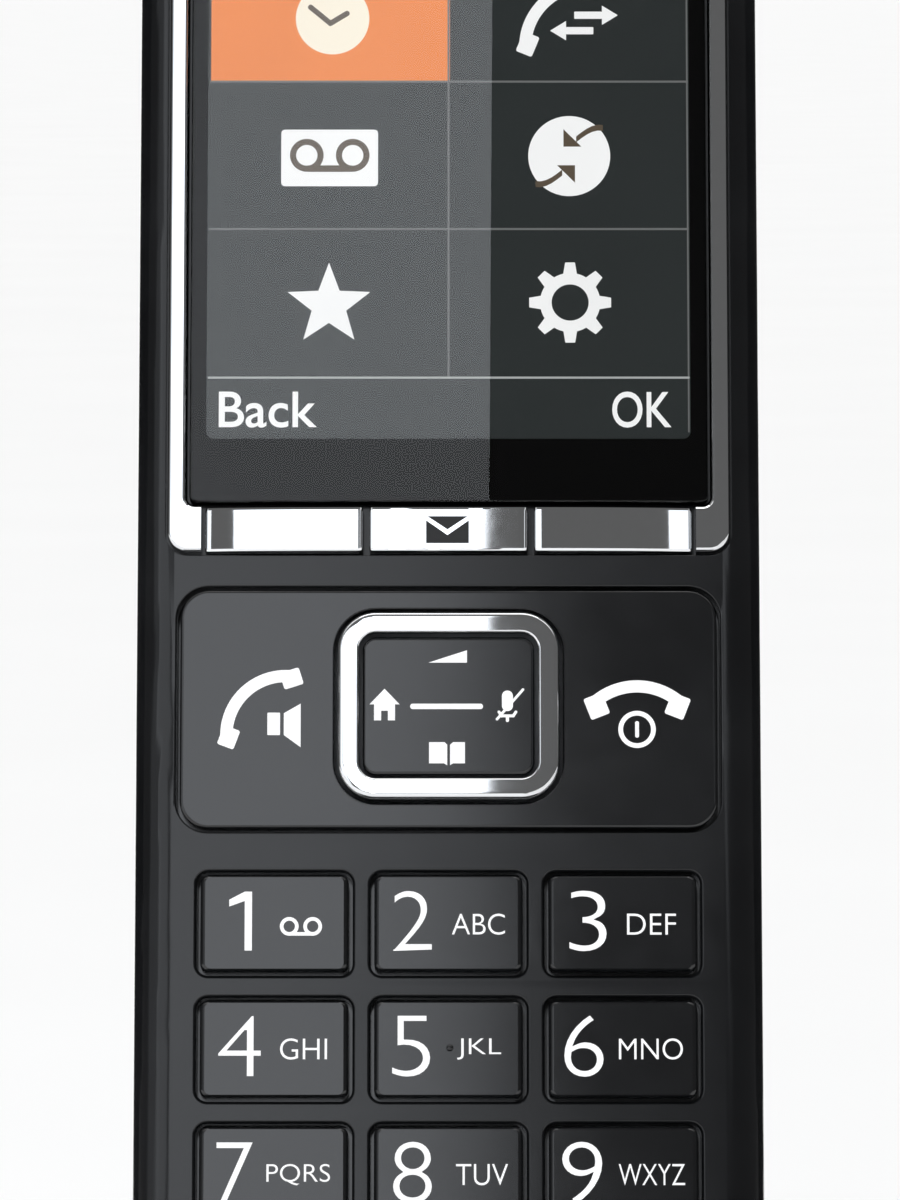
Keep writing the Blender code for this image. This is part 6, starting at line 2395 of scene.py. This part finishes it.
@dataclass(frozen=True)
class Studio:
    """A pale floor under a pale sky that is dark in front, soft cards, and the camera.

    Attributes:
        aim: What the camera looks at, in mm.
        elevation: How far it looks down, in degrees.
        distance: How far it stands, in mm.
        lens: Its focal length, in mm.
        mirror_elevation: Where the face mirrors the camera's view to, in degrees.
        sky: How bright the world is behind and above.
        dark: How bright it is everywhere else.
        flag: The dark flags' distance from the middle, their two ends along Y and their height, in mm.
    """

    aim: Point3 = (0.116, 5.33, 91.04)
    elevation: float = 5.5
    distance: float = 520.0
    lens: float = 201.3
    mirror_elevation: float = 24.5
    sky: float = 2.95
    dark: float = 0.13
    flag: tuple[float, float, float, float] = (150.0, 30.0, 750.0, 400.0)

    def _mirrored(self, x: float, up: float) -> Point3:
        """Returns a point of the plane that the face mirrors, x across it and up along it."""
        t = math.radians(self.mirror_elevation)
        y = self.aim[1] - self.distance * math.cos(t) + up * math.sin(t)
        return (x, y, self.aim[2] + self.distance * math.sin(t) + up * math.cos(t))

    def build_cards(self) -> None:
        """Puts up the cards: the tall one mirrored in the left of the face, and a small one at its right."""
        width, tall, edge = 118.0, 460.0, 6.1
        middle = self._mirrored(edge - width / 2, 0.0)
        Card("card_main", middle, (edge - width / 2, *self.aim[1:]), (width, tall), 2.2, -0.35).place()
        Card("card_right", self._mirrored(154.5, 5.0), self.aim, (67.0, 90.0), 1.6).place()
        Card("card_left", self._mirrored(-345.0, 0.0), self.aim, (350.0, 460.0), 1.3).place()
        Card("card_far_left", self._mirrored(-800.0, 0.0), self.aim, (420.0, 800.0), 0.5).place()

    def build_sky(self) -> None:
        """Fills the world: pale to the camera, and otherwise dark in front and bright behind and above."""
        world = bpy.data.worlds.new("studio")
        bpy.context.scene.world = world
        world.use_nodes = True
        graph = Graph(world.node_tree)
        direction = graph.node("ShaderNodeTexCoord")
        parts = graph.node("ShaderNodeSeparateXYZ", None, {"Vector": direction})
        back = graph.math("MULTIPLY", parts.out("Y") - 0.85, 8.0, clamp=True)
        high = graph.math("MULTIPLY", parts.out("Z") - 0.5, 3.0, clamp=True)
        behind = graph.math("MULTIPLY", parts.out("Y") + 0.3, 2.0, clamp=True)
        share = graph.math("MAXIMUM", back, high * behind)
        strength = self.dark + share * (self.sky - self.dark)
        seen = graph.node("ShaderNodeLightPath").out("Is Camera Ray")
        sky = graph.node("ShaderNodeBackground", None, {"Color": (1.0, 1.0, 1.0, 1.0), "Strength": strength})
        plain = graph.node("ShaderNodeBackground", None, {"Color": (1.0, 1.0, 1.0, 1.0), "Strength": 1.0})
        surface = graph.node("ShaderNodeMixShader", None, {0: seen, 1: sky, 2: plain})
        graph.node("ShaderNodeOutputWorld", None, {"Surface": surface})

    def build_floor(self) -> None:
        """Lays the floor."""
        half = 40.0
        mesh = bpy.data.meshes.new("floor")
        mesh.from_pydata(
            [(-half, -half, 0), (half, -half, 0), (half, half, 0), (-half, half, 0)], [], [(0, 1, 2, 3)]
        )
        mesh.materials.append(FLOOR.material())
        floor = bpy.data.objects.new("floor", mesh)
        bpy.context.scene.collection.objects.link(floor)

    def build_flags(self) -> None:
        """Stands up two dark flags beside and behind the phone, which only its shiny edges can see."""
        x, near, far, tall = self.flag
        for side, sign in (("left", -1), ("right", 1)):
            mesh = bpy.data.meshes.new("flag_" + side)
            corners = [(near, 0.0), (far, 0.0), (far, tall), (near, tall)]
            mesh.from_pydata([(sign * x * MM, y * MM, z * MM) for y, z in corners], [], [(0, 1, 2, 3)])
            mesh.materials.append(FLAG_CLOTH.material())
            flag = bpy.data.objects.new("flag_" + side, mesh)
            bpy.context.scene.collection.objects.link(flag)
            for ray in ("camera", "diffuse", "shadow", "transmission"):
                setattr(flag, "visible_" + ray, False)

    def build_camera(self) -> None:
        """Sets up the camera."""
        data = bpy.data.cameras.new("camera")
        data.lens, data.sensor_width, data.sensor_fit = self.lens, 36.0, "AUTO"
        data.clip_start, data.clip_end = 0.01, 100.0
        camera = bpy.data.objects.new("camera", data)
        bpy.context.scene.collection.objects.link(camera)
        t = math.radians(self.elevation)
        away = Vector((0.0, -math.cos(t), math.sin(t)))
        aim = Vector(self.aim) * MM
        camera.matrix_world = Matrix.Translation(aim + away * self.distance * MM) @ away.to_track_quat(
            "Z", "Y"
        ).to_matrix().to_4x4()
        bpy.context.scene.camera = camera

    def build(self) -> None:
        """Sets up everything round the phone."""
        bpy.context.scene.view_settings.view_transform = "Standard"
        self.build_cards()
        self.build_sky()
        self.build_floor()
        self.build_flags()
        self.build_camera()


def main() -> None:
    """Builds the studio and the phone round the frame."""
    logging.basicConfig(level=logging.INFO, format="%(message)s")
    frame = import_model()
    Studio().build()
    layout = FaceLayout()
    for part in (
        Casings(layout), Display(layout), CallKeys(layout), Keypad(layout), SmallParts(layout), Base(layout)
    ):
        LOG.info("-- %s", type(part).__name__)
        part.build()
    finish_kept_shapes(frame["nodes"])


if __name__ == "__main__":
    main()
